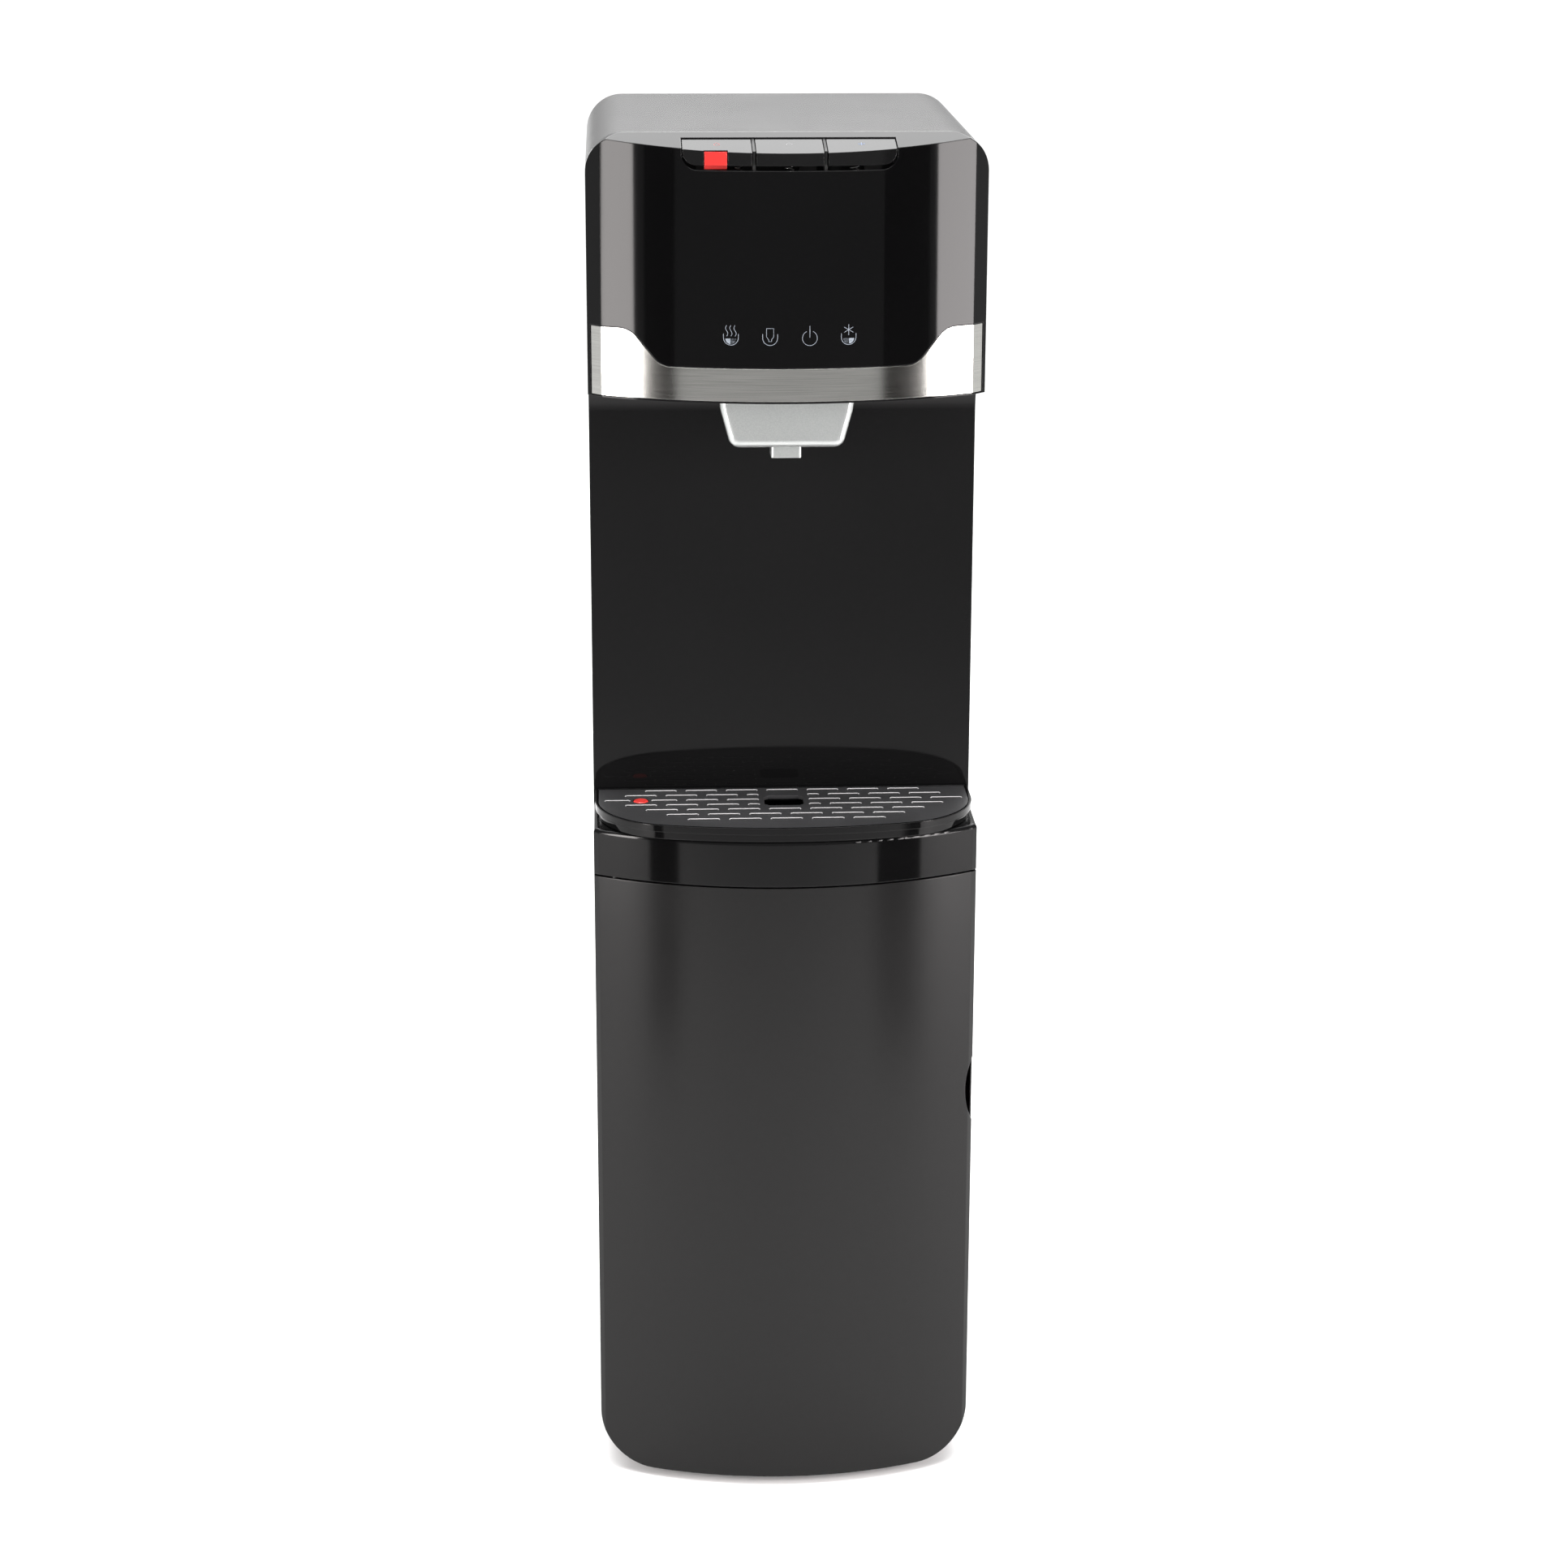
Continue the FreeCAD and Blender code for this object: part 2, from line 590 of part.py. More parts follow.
def drip_grille():
    """Lift-out grille with staggered slots, a finger hole and a hole for the float."""
    plate = body("grille")
    pad_z(plate, "grille_plan", tray_outline(2.6, "alcove_wall - 3.6"), "tray_rim - 3.3", "tray_rim - 0.6")
    slots = sketch_on(plate, "grille_slots", "XY_Plane", "tray_rim - 4")
    end = 1.5
    for left, right, behind in grille_slots():
        y = size(FRONT) + behind
        far, near = y + end, y - end
        slots.addGeometry([
            Part.LineSegment(FreeCAD.Vector(left + end, near), FreeCAD.Vector(right - end, near)),
            Part.Arc(FreeCAD.Vector(right - end, near), FreeCAD.Vector(right, y),
                     FreeCAD.Vector(right - end, far)),
            Part.LineSegment(FreeCAD.Vector(right - end, far), FreeCAD.Vector(left + end, far)),
            Part.Arc(FreeCAD.Vector(left + end, far), FreeCAD.Vector(left, y), FreeCAD.Vector(left + end, near)),
        ])
    hollow(plate, slots, 5)
    finger = [(-12, f"{FRONT} + 61"), (12, f"{FRONT} + 61"), (15.5, f"{FRONT} + 64.5"),
              (15.5, f"{FRONT} + 83.5"), (12, f"{FRONT} + 87"), (-12, f"{FRONT} + 87"),
              (-15.5, f"{FRONT} + 83.5"), (-15.5, f"{FRONT} + 64.5")]
    cut_z(plate, "finger_hole", finger, "tray_rim - 4", "tray_rim + 1")
    bore_z(plate, "float_hole", [(FLOAT_X, f"{FRONT} + 77.2", 6.6)], "tray_rim - 4", "tray_rim + 1")
    node(plate, "drip_grille")


def overflow_float():
    """Red float that rises through the grille when the tray is full."""
    corners = [(0, 0), (6, 0), (6, 8.2), (5, 9.2), (0, 9.2)]
    node(place(turned("float_form", corners), FLOAT_X, f"{FRONT} + 77.2", "shelf_top + 2.6"), "overflow_float")


# ---- head ----------------------------------------------------------------------------

def smile(name, x_half, low, lift):
    """Front view of the steel trim: low in the middle and high at both ends."""
    ramp = math.radians(50)
    ramp_length = 19.9
    sine, cosine = math.sin(ramp), math.cos(ramp)
    bend = 16.4
    start = 88
    first = start + bend * sine
    first_z = bend * (1 - cosine)
    second = first + ramp_length * cosine
    second_z = first_z + ramp_length * sine
    last = second + bend * sine
    middle, end = f"trim_mid + {lift}", f"trim_end + {lift}"
    radius = f"{bend} - {lift}"
    wide = f"{bend} + {lift}"
    corners = [(f"-{x_half}", low), (x_half, low), (x_half, end)]
    corners += [(last, end, wide, 1), (second, f"{middle} + {second_z}"),
                (first, f"{middle} + {first_z}", radius, -1), (start, middle)]
    corners += [(-start, middle, radius, -1), (-first, f"{middle} + {first_z}"),
                (-second, f"{middle} + {second_z}", wide, 1), (-last, end), (f"-{x_half}", end)]
    form = body(name)
    pad_y(form, name + "_view", corners, "-depth", "mould_back - 3")
    return form


def head_skin(name, outer, inner, low, high):
    """Ring between two inset plans of the head, open at the back."""
    outside = body(name + "_outside")
    pad_z(outside, name + "_outer_plan", front_outline("head_crease", outer, "mould_back"), low, high)
    inside = body(name + "_inside")
    pad_z(inside, name + "_inner_plan", front_outline("head_crease", inner, "mould_back + 5"),
          f"{low} - 1", f"{high} + 1")
    return cut(name + "_ring", outside, inside)


def recess_form(name, half, low, near, far, top, corner):
    """Prism of the button recess: flat floor, round lower corners, open top."""
    form = body(name)
    half = f"({half})"
    flat = f"({half} - {corner})"
    corners = [(f"-{half}", top), (f"-{half}", f"{low} + {corner}", corner, 1), (f"-{flat}", low),
               (flat, low, corner, 1), (half, f"{low} + {corner}"), (half, top)]
    pad_y(form, name + "_view", corners, near, far)
    return form


def front_fascia():
    """Gloss front of the head in one moulding, with the button recess and the trim's seat."""
    outside = head_solid("fascia_outside", 0, "head_low", "mould_back")
    inside = head_solid("fascia_inside", 2.8, "head_low - 2", "mould_back + 5")
    shell = cut("fascia_shell", outside, inside)
    seat = common("trim_seat", head_skin("seat_skin", -1, 1.3, "head_low - 1", "height"),
                  smile("seat_form", "147.2", "head_low + 1.2", 0.4))
    recess = recess_form("recess", "button_half + 0.8", "recess_low", "-depth", "button_back + 0.8",
                         "height + 5", 12)
    node(cut("fascia_cut", shell, seat, recess), "front_fascia")


def trim_band():
    """Brushed steel strip that follows the bow of the head and rises at both ends."""
    strip = common("trim_strip", head_skin("trim_skin", 0.05, 1.15, "head_low", "height"),
                   smile("trim_form", "146.8", "head_low + 1.6", 0))
    node(strip, "trim_band")


def top_cover():
    """Moulded lid of the head, with a skirt down both sides and the back."""
    cover = body("lid")
    pad_y(cover, "lid_outside", top_outline(0, "skirt_low"), "mould_back + gap", BACK)
    round_edges(cover, "lid_back_edge", 6, lambda edge: abs(edge.BoundBox.YMin - size(BACK)) < 0.01
                and edge.BoundBox.ZMax > size("skirt_low") + 1)
    cut_y(cover, "lid_inside", top_outline(2.5, "skirt_low - 1"), "mould_back - 1", f"{BACK} - 2.5")
    node(cover, "top_cover")


def button_carrier():
    """Black pocket behind the buttons: floor, back wall, cheeks and two ribs between them."""
    half = "(button_half + 0.6)"
    outside = recess_form("carrier_outside", "button_half + 3", "recess_low - 7", "-160", "button_back + 3",
                          "height", 12)
    inside = recess_form("carrier_inside", half, "recess_low - 4.5", "-170", "button_back + 0.6", "height + 1", 12)
    pocket = cut("carrier_pocket", outside, inside)
    ribs = [block(f"carrier_rib_{hand + 1}", (f"{hand} * rib_x - 1", f"{hand} * rib_x + 1"),
                  (-166, "button_back + 0.7"), ("recess_low - 5", "height")) for hand in (-1, 1)]
    envelope = head_solid("carrier_envelope", 3.1, "head_low", "mould_back")
    ribs_envelope = head_solid("rib_envelope", 0.9, "head_low", "mould_back")
    body_part = common("carrier_trimmed", pocket, envelope)
    rib_part = common("ribs_trimmed", fused("ribs", *ribs), ribs_envelope)
    axle_holes = rod("axle_holes", 1.3, 170, -85, -143, 1070, "X")
    node(cut("carrier_cut", fused("carrier_all", body_part, rib_part), axle_holes), "button_carrier")


BUTTONS = {"hot": ("-button_half", "-rib_x - 1.6"), "room": ("-rib_x + 1.6", "rib_x - 1.6"),
           "cold": ("rib_x + 1.6", "button_half")}


def dispense_button(word):
    """Hollow button that tips down at the front on two stub axles near its back edge."""
    left, right = BUTTONS[word]
    blank = block(word + "_blank", (left, right), ("-depth", "button_back"), ("button_low", "height + 1"))
    outer_form = recess_form(word + "_outline", "button_half", "button_low", "-depth", "button_back",
                             "height + 1", 9.5)
    face = common(word + "_face", head_solid(word + "_face_form", 0.8, "button_low", "button_back"), outer_form)
    outside = common(word + "_outside", face, blank)
    cavity_blank = block(word + "_cavity_blank", (f"{left} + 2", f"{right} - 2"),
                         ("-depth", "button_back - 2"), ("button_low - 1", "height"))
    cavity_form = recess_form(word + "_cavity_form", "button_half - 2", "button_low - 3", "-depth",
                              "button_back - 2", "height + 1", 9.5)
    cavity = common(word + "_cavity", common(word + "_cavity_face",
                    head_solid(word + "_cavity_solid", 2.8, "button_low - 5", "button_back - 2"), cavity_form),
                    cavity_blank)
    shell = cut(word + "_shell", outside, cavity)
    if word == "hot":
        shell = cut("hot_window", shell, block("lock_window", (-63.2, -45.5), ("-depth", -157), (1064, 1075.5)))
    axles = [rod(f"{word}_axle_{end}", 1.25, 3.2, start, -143, 1070, "X")
             for end, start in (("left", f"{left} - 1.2"), ("right", f"{right} - 2"))]
    node(fused(word + "_all", shell, *axles), f"{word}_button")


def child_lock():
    """Red tab in the hot button, pushed inwards before the button is pressed."""
    tab = body("lock")
    front = f"({FRONT} + front_radius - sqrt((front_radius - 0.6) ^ 2 - X ^ 2))"
    left, right = -62.6, -46.1
    near_left = front.replace("X", str(left))
    near_right = front.replace("X", str(right))
    pad_z(tab, "lock_plan", [(left, -158), (left, near_left, "front_radius - 0.6", 1), (right, near_right),
                             (right, -158)], 1065.2, 1075)
    pad_z(tab, "lock_tongue", rectangle(left, -162.3, right, -158), 1061.9, 1065.2)
    node(tab, "child_lock")


def coil_spring(name, radius, wire, height, turns):
    """Helical compression spring standing on the XY plane, of wire with eight flats."""
    steps = 12
    count = turns * steps
    line = Part.BSplineCurve()
    line.interpolate([FreeCAD.Vector(radius * math.cos(2 * math.pi * i / steps),
                                     radius * math.sin(2 * math.pi * i / steps),
                                     height * i / count) for i in range(count + 1)])
    ring = [FreeCAD.Vector(radius + wire * math.cos(math.pi * k / 4), 0, wire * math.sin(math.pi * k / 4))
            for k in range(9)]
    spring = doc.addObject("Part::Feature", name)
    spring.Shape = Part.Wire(line.toShape()).makePipeShell([Part.makePolygon(ring)], True, True)
    return spring


def button_springs():
    for word, x in (("hot", -38), ("room", 0), ("cold", 48)):
        spring = coil_spring(word + "_coil", 3.2, 0.4, 16.8, 6)
        node(place(spring, x, -154, "recess_low - 3.9"), f"{word}_button_spring")


def microswitches():
    """Snap switches on the carrier's floor, one under each button."""
    switches = [block(f"switch_{step}", (f"{x} - 6.5", f"{x} + 6.5"), (-150, -144), (1057.2, 1063.5))
                for step, x in enumerate((-62, 14, 62))]
    node(group("switches", switches), "microswitches")


def indicator_board():
    """Circuit board with four lamps that shine through the fascia's icons."""
    board = block("lamp_board", (-60, 60), (-160, -158.4), (926, 952))
    lamps = [rod(f"lamp_{step}", 2.5, 4.5, x, -164.5, 938.6, "Y")
             for step, x in enumerate((-43.6, -14.7, 14.7, 43.6))]
    node(fused("lamp_group", board, *lamps), "indicator_board")


def alcove_liner():
    """Wall and ceiling of the alcove in one bent moulding, with short returns at both sides."""
    liner = body("alcove")
    wall, ceiling = "alcove_wall", "head_low + 0.5"
    cove = 25
    corners = [("-167", ceiling), (f"{wall} - {cove}", ceiling, cove, -1), (wall, f"{ceiling} - {cove}"),
               (wall, "shelf_top + gap"), (f"{wall} + shell", "shelf_top + gap"),
               (f"{wall} + shell", f"{ceiling} - {cove}", f"{cove} + shell", 1),
               (f"{wall} - {cove}", f"{ceiling} + shell"), ("-167", f"{ceiling} + shell")]
    pad_x(liner, "alcove_section", corners, "-width / 2", "width / 2")
    for hand, near, far in (("left", "-width / 2", "-width / 2 + shell"),
                            ("right", "width / 2 - shell", "width / 2")):
        pad_z(liner, f"alcove_{hand}_return", rectangle(near, wall, far, f"{wall} + 15.2"),
              "shelf_top + gap", "head_low - gap")
    cut_z(liner, "nozzle_opening", rectangle(-32, -126, 32, -96), "head_low - 1", "head_low + 5")
    side_waste = [block(f"ceiling_waste_{hand + 1}", (f"{hand} * 151 - 3.4", f"{hand} * 151 + 3.4"), (-180, -40),
                        ("head_low - gap", "head_low + 12")) for hand in (-1, 1)]
    envelope = body("ceiling_envelope")
    pad_z(envelope, "ceiling_plan", front_outline("head_crease", 3.1, "-40"), "head_low - 2", "head_low + 12")
    waste = cut("ceiling_front_waste", block("ceiling_block", (-155, 155), (-185, "mould_back + 1"),
                                             ("head_low - 1", "head_low + 10")), envelope)
    node(cut("alcove_cut", liner, waste, *side_waste), "alcove_liner")


def nozzle_housing():
    """Tapered satin shroud under the head, rounded all round its front face."""
    shroud = body("shroud")
    corners = [(-52, 890.3), (-50, 877), (-44, 855, 9, 1), (-36, 849), (36, 849, 9, 1), (44, 855), (50, 877),
               (52, 890.3)]
    pad_y(shroud, "shroud_view", corners, -133, -88)
    round_edges(shroud, "shroud_round", 6, lambda edge: edge.BoundBox.YMax < -132.9
                and edge.BoundBox.ZMin < size("head_low"))
    inner = [(-49.5, 891), (-47.6, 877), (-41.6, 856.5), (-36, 851.4), (36, 851.4), (41.6, 856.5), (47.6, 877),
             (49.5, 891)]
    cut_y(shroud, "shroud_inside", inner, -130.6, -90.4)
    cut_z(shroud, "spout_opening", rectangle(-11.8, -122.3, 11.8, -97.7), 845, 855)
    node(shroud, "nozzle_housing")


def spout():
    """Outlet block with one bore for hot water and one for cold."""
    outlet = body("outlet")
    pad_z(outlet, "outlet_plan", rectangle(-11.5, -122, 11.5, -98), 839.5, 884)
    round_edges(outlet, "outlet_round", 2, lambda edge: edge.BoundBox.ZLength > 40)
    bore_z(outlet, "outlet_bores", [(-5.5, -110, 4), (5.5, -110, 4)], 838, 885)
    node(outlet, "spout")


# ---- inside the column: shelves, cooling, tanks and pump --------------------------------

def mid_shelf():
    """Steel shelf over the bottle, with a folded front edge."""
    shelf = body("shelf")
    pad_z(shelf, "shelf_plate", rectangle("-width / 2 + 2.8", -110, "width / 2 - 2.8", "panel_back - 1.9"),
          "mid_shelf", "mid_shelf + 1.5")
    pad_y(shelf, "shelf_fold", rectangle("-width / 2 + 2.8", "mid_shelf - 22", "width / 2 - 2.8", "mid_shelf"),
          -110, -108.5)
    bore_z(shelf, "shelf_hose_hole", [(116, 112, 9)], "mid_shelf - 1", "mid_shelf + 2")
    node(shelf, "mid_shelf")


def compressor():
    """Welded compressor shell with its foot plate and relay cover."""
    shell = turned("compressor_shell", [(0, 12), (40, 12), (60, 26), (62, 40), (62, 105), (58, 124),
                                        (36, 140), (0, 144)])
    shell = place(shell, -48, 52, "mid_shelf + 1.5")
    plate = block("compressor_plate", (-118, 22), (2, 102), ("mid_shelf + 11.5", "mid_shelf + 14"))
    cover = block("relay_cover", (12, 34), (26, 78), ("mid_shelf + 46", "mid_shelf + 96"))
    holes = [rod(f"plate_hole_{x + 108}_{y}", 4.1, 6, x, y, "mid_shelf + 10")
             for x in (-108, 12) for y in (12, 92)]
    node(cut("compressor_cut", fused("compressor_all", shell, plate, cover), *holes), "compressor")
    grommets = [place(turned(f"grommet_{x + 108}_{y}", [(0, 0), (9, 0), (9, 9.9), (4, 9.9), (4, 14), (0, 14)]),
                      x, y, "mid_shelf + 1.5") for x in (-108, 12) for y in (12, 92)]
    node(group("grommets", grommets), "compressor_grommets")


def filter_drier():
    """Copper drier in the refrigerant line, with drawn ends."""
    drier = turned("drier", [(0, 0), (3, 0), (3, 12), (9.5, 20), (9.5, 90), (3, 98), (3, 110), (0, 110)])
    node(place(drier, 132, 138, "mid_shelf + 12"), "filter_drier")


def tank_shelf():
    """Second steel shelf, which carries both tanks."""
    shelf = body("upper_shelf")
    pad_z(shelf, "upper_shelf_plate", rectangle("-width / 2 + 3.2", "alcove_wall + 4", "width / 2 - 3.2",
                                                "panel_back - 1.9"), "tank_shelf", "tank_shelf + 1.5")
    for name, near in (("front", "alcove_wall + 4"), ("back", "panel_back - 3.4")):
        pad_y(shelf, f"upper_shelf_{name}_fold", rectangle("-width / 2 + 3.2", "tank_shelf - 12",
              "width / 2 - 3.2", "tank_shelf"), near, f"{near} + 1.5")
    node(shelf, "tank_shelf")


COLD_X, COLD_Y = -52, 48
HOT_X, HOT_Y = 96, 48


def cold_tank():
    """Stainless cold tank, the evaporator coil round it and the two foam halves over both."""
    tank = turned("cold_shell", [(0, 0), (52, 0), (60, 8), (60, 152), (52, 160), (12, 162), (12, 172), (10, 172),
                                 (10, 161), (51.5, 159), (59, 151.5), (59, 8.5), (51.5, 1), (0, 1)])
    node(place(tank, COLD_X, COLD_Y, "tank_shelf + 28"), "cold_tank")
    pitch, turns, coil_radius, wire = 14, 8, 63.9, 3.5
    helix = Part.makeHelix(pitch, pitch * turns, coil_radius)
    profile = Part.Wire(Part.makeCircle(wire, FreeCAD.Vector(coil_radius, 0, 0), FreeCAD.Vector(0, 1, 0)))
    coil = doc.addObject("Part::Feature", "evaporator")
    coil.Shape = helix.makePipeShell([profile], True, True)
    node(place(coil, COLD_X, COLD_Y, "tank_shelf + 50"), "evaporator_coil")
    low, high = "tank_shelf + 1.8", "tank_shelf + 225"
    cavity = rod("foam_cavity", 68.5, 166, COLD_X, COLD_Y, "tank_shelf + 26")
    neck = rod("foam_neck", 13, 60, COLD_X, COLD_Y, "tank_shelf + 180")
    halves = [cut(f"foam_{name}", block(f"foam_{name}_block", (-140, 36), span, (low, high)),
                  cavity, neck)
              for name, span in (("front", (-38, 47.8)), ("back", (48.2, 134)))]
    node(group("foam", halves), "tank_insulation")


def hot_tank():
    """Stainless hot tank with its heater flange, felt jacket and two thermostats."""
    tank = turned("hot_shell", [(0, 0), (18, 0), (18, 8), (36, 10), (42, 16), (42, 160), (36, 168), (8, 170),
                                (8, 182), (6, 182), (6, 169), (35.5, 167), (41, 159.5), (41, 16.5), (35.5, 11),
                                (0, 9)])
    node(place(tank, HOT_X, HOT_Y, "tank_shelf + 4"), "hot_tank")
    jacket = turned("hot_felt", [(42.4, 0), (49.5, 0), (49.5, 136), (42.4, 136)])
    node(place(jacket, HOT_X, HOT_Y, "tank_shelf + 24"), "hot_tank_jacket")
    discs_on_top = [rod(f"thermostat_{step}", 8, 9, f"{HOT_X} + {x}", HOT_Y, "tank_shelf + 174.2")
                    for step, x in enumerate((-20, 20))]
    node(group("thermostat_pair", discs_on_top), "thermostats")


def water_pump():
    """Diaphragm pump that lifts water from the bottle: square head on a round motor."""
    head = block("pump_head", (72, 112), (-34, 6), ("mid_shelf + 2", "mid_shelf + 38"))
    motor = rod("pump_motor", 14, 46, 92, 4, "mid_shelf + 20", "Y")
    inlet = rod("pump_inlet", 4, 16, 82, -24, "mid_shelf + 36")
    outlet = rod("pump_outlet", 4, 16, 102, -24, "mid_shelf + 36")
    node(fused("pump", head, motor, inlet, outlet), "water_pump")


def tube(name, points, radius, axis_start):
    """Round hose along straight runs joined by tangent arcs."""
    points = [FreeCAD.Vector(*point) for point in points]
    edges = []
    here = points[0]
    for before, corner, after in zip(points, points[1:], points[2:]):
        into, out = corner - before, after - corner
        turn = into.getAngle(out)
        trim = 0.45 * min(into.Length, out.Length)
        start = corner - into.normalize() * trim
        end = corner + out.normalize() * trim
        bend = trim / math.tan(turn / 2)
        towards = (start + end) * 0.5 - corner
        centre = corner + towards.normalize() * math.hypot(bend, trim)
        middle = centre + (corner - centre).normalize() * bend
        edges += [Part.LineSegment(here, start).toShape(), Part.Arc(start, middle, end).toShape()]
        here = end
    edges.append(Part.LineSegment(here, points[-1]).toShape())
    path = Part.Wire(edges)
    profile = Part.Wire(Part.makeCircle(radius, points[0], FreeCAD.Vector(*axis_start)))
    hose = doc.addObject("Part::Feature", name)
    hose.Shape = path.makePipeShell([profile], True, False)
    return hose


def suction_parts():
    """Cap and dip tube that go into the bottle, parked on a hanger, and the hose to the pump."""
    cap = turned("cap_form", [(0, 30), (0, 34), (4.2, 34), (4.2, 44), (7, 44), (7, 34), (25, 34), (28, 31),
                              (28, 0), (25.5, 0), (25.5, 30)])
    low = size("mid_shelf") - 68
    node(place(cap, 116, 112, low), "probe_cap")
    dip = turned("dip_tube", [(4.5, 0), (7, 0), (7, 399.7), (4.5, 399.7)])
    node(place(dip, 116, 112, low - 370), "suction_probe")
    hanger = block("hanger_plate", (96, 136), (142, 155.4), (low - 20, low - 2))
    fork = block("hanger_fork", (98, 134), (92, 143), (low - 6, low - 2))
    slot = block("hanger_slot", (107, 125), (80, 121), (low - 10, low))
    round_end = rod("hanger_eye", 9, 12, 116, 116, low - 10)
    node(cut("hanger", fused("hanger_all", hanger, fork), slot, round_end), "probe_hanger")
    top = low + 36
    pump_z = size("mid_shelf") + 52.2
    route = [(116, 112, top), (116, 112, top + 58), (116, 96, top + 100), (104, 40, top + 128),
             (88, -10, top + 118), (82, -24, pump_z + 30), (82, -24, pump_z)]
    node(tube("hose", route, 3.9, (0, 0, 1)), "suction_hose")


def solenoid_valves():
    """Three valves over the ceiling, one for each button, and the two tubes down to the spout."""
    valves = []
    for step, x in enumerate((-42, 0, 42)):
        base = block(f"valve_base_{step}", (f"{x} - 11", f"{x} + 11"), (-92, -70), (897, 915))
        coil = rod(f"valve_coil_{step}", 13, 30, x, -81, 915)
        valves.append(fused(f"valve_{step}", base, coil))
    node(group("valves", valves), "solenoid_valves")
    tubes = []
    for step, x in enumerate((-5.5, 5.5)):
        tubes.append(tube(f"outlet_hose_{step}", [(x, -110, 870), (x, -110, 900), (x, -100, 906), (x, -92.4, 906)],
                          3.6, (0, 0, 1)))
    node(group("outlet_hoses", tubes), "outlet_tubes")


def electronics():
    """Control board over the tanks and the power supply beside the pump."""
    board = block("board", (-70, 70), (-30, 60), (962, 963.6))
    chips = [block(f"chip_{step}", (x, x + wide), (y, y + deep), (963.6, 963.6 + high))
             for step, (x, y, wide, deep, high) in enumerate(
                 ((-60, -20, 30, 24, 18), (-20, 20, 22, 22, 20), (20, -18, 18, 12, 12), (45, 20, 16, 30, 14)))]
    posts = [rod(f"stand_off_{x + 62}_{y}", 3, 21.7, x, y, 940.3) for x in (-62, -10) for y in (-24, 52)]
    node(fused("control", board, *chips, *posts), "control_board")
    node(block("supply", (50, 106), (64, 134), ("mid_shelf + 2", "mid_shelf + 44")), "power_supply")


# ---- rear fittings -------------------------------------------------------------------

def cord_gland():
    """Rubber gland where the supply cord leaves the back."""
    flange = rod("gland_flange", 13, 4, 100, "panel_back + 0.8", 600, "Y")
    neck = rod("gland_neck", 9, 14, 100, "panel_back - 10", 600, "Y")
    core = rod("gland_core", 4, 40, 100, "panel_back - 20", 600, "Y")
    node(cut("gland", fused("gland_all", flange, neck), core), "cord_gland")


def drain():
    """Drain stub of the hot tank and the cap that turns on it."""
    stub = rod("drain_stub", 8, 22, -100, "panel_back - 8", 600, "Y")
    collar = rod("drain_collar", 14, 2, -100, "panel_back + 0.8", 600, "Y")
    core = rod("drain_core", 4.5, 60, -100, "panel_back - 20", 600, "Y")
    node(cut("drain_fitting_cut", fused("drain_all", stub, collar), core), "drain_fitting")
    cap = rod("drain_cap_outside", 12, 13, -100, "panel_back + 3.1", 600, "Y")
    inside = rod("drain_cap_inside", 8.06, 11.2, -100, "panel_back + 3.1 - 0.1", 600, "Y")
    wings = block("drain_cap_grip", (-101.5, -98.5), ("panel_back + 16", "panel_back + 18.4"), (590, 610))
    node(cut("drain_cap_cut", fused("drain_cap_all", cap, wings), inside), "drain_cap")


def rear_switches():
    """Two rocker switches, for heating and for cooling, in snap-in housings."""
    housings = []
    for word, x in (("hot", -85), ("cold", -115)):
        flange = block(word + "_switch_flange", (x - 8, x + 8), ("panel_back + 0.8", "panel_back + 2.6"),
                       (967, 993))
        barrel = block(word + "_switch_barrel", (x - 6.4, x + 6.4), ("panel_back - 14", "panel_back + 1"),
                       (969.8, 990.2))
        well = block(word + "_switch_well", (x - 5, x + 5), ("panel_back - 10", "panel_back + 4"), (971.2, 988.8))
        axle_hole = rod(word + "_switch_axle_hole", 1.05, 16, x - 7.9, "panel_back - 2", 980, "X")
        housings.append(cut(word + "_housing", fused(word + "_housing_all", flange, barrel), well, axle_hole))
        paddle = body(word + "_paddle")
        low, high = "panel_back - 6.5", "panel_back + 4.2"
        pad_x(paddle, word + "_paddle_side", [(low, 976.5), ("panel_back + 1.2", 972.2), (high, 973.2),
                                              ("panel_back + 2", 980), ("panel_back + 2.4", 987.6),
                                              ("panel_back - 0.6", 987.8), (low, 983.5)], x - 4.7, x + 4.7)
        axle = rod(word + "_paddle_axle", 1, 12.4, x - 6.2, "panel_back - 2", 980, "X")
        node(fused(word + "_paddle_all", paddle, axle), f"{word}_rocker")
    node(group("housings", housings), "rocker_housings")


base_pan()
bottle_platform()
levelling_feet()
side_panel("side_panel_left", -1)
side_panel("side_panel_right", 1)
back_panel()
back_panel_screws()
condenser()
lower_housing()
door_skin()
door_liner()
door_catch()
hinges()
drip_tray()
drip_grille()
overflow_float()
front_fascia()
trim_band()
top_cover()
button_carrier()
for button in BUTTONS:
    dispense_button(button)
child_lock()
button_springs()
microswitches()
indicator_board()
alcove_liner()
nozzle_housing()
spout()
mid_shelf()
compressor()
filter_drier()
tank_shelf()
cold_tank()
hot_tank()
water_pump()
suction_parts()
solenoid_valves()
electronics()
cord_gland()
drain()
rear_switches()
doc.recompute()

faults = [thing.Label for thing in doc.Objects if {"Invalid", "Error"} & set(thing.State)]
faults += [part.Label for part in nodes
           if part.Shape.isNull() or not part.Shape.isValid() or part.Shape.Volume <= 0]
if faults:
    raise RuntimeError("failed: " + ", ".join(faults))
os.makedirs("parts", exist_ok=True)
for part in nodes:
    part.Shape.exportStep(f"parts/{part.Label}.step")
print(len(nodes), "nodes written")
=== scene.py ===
import math
import bpy
from mathutils import Euler, Matrix, Vector


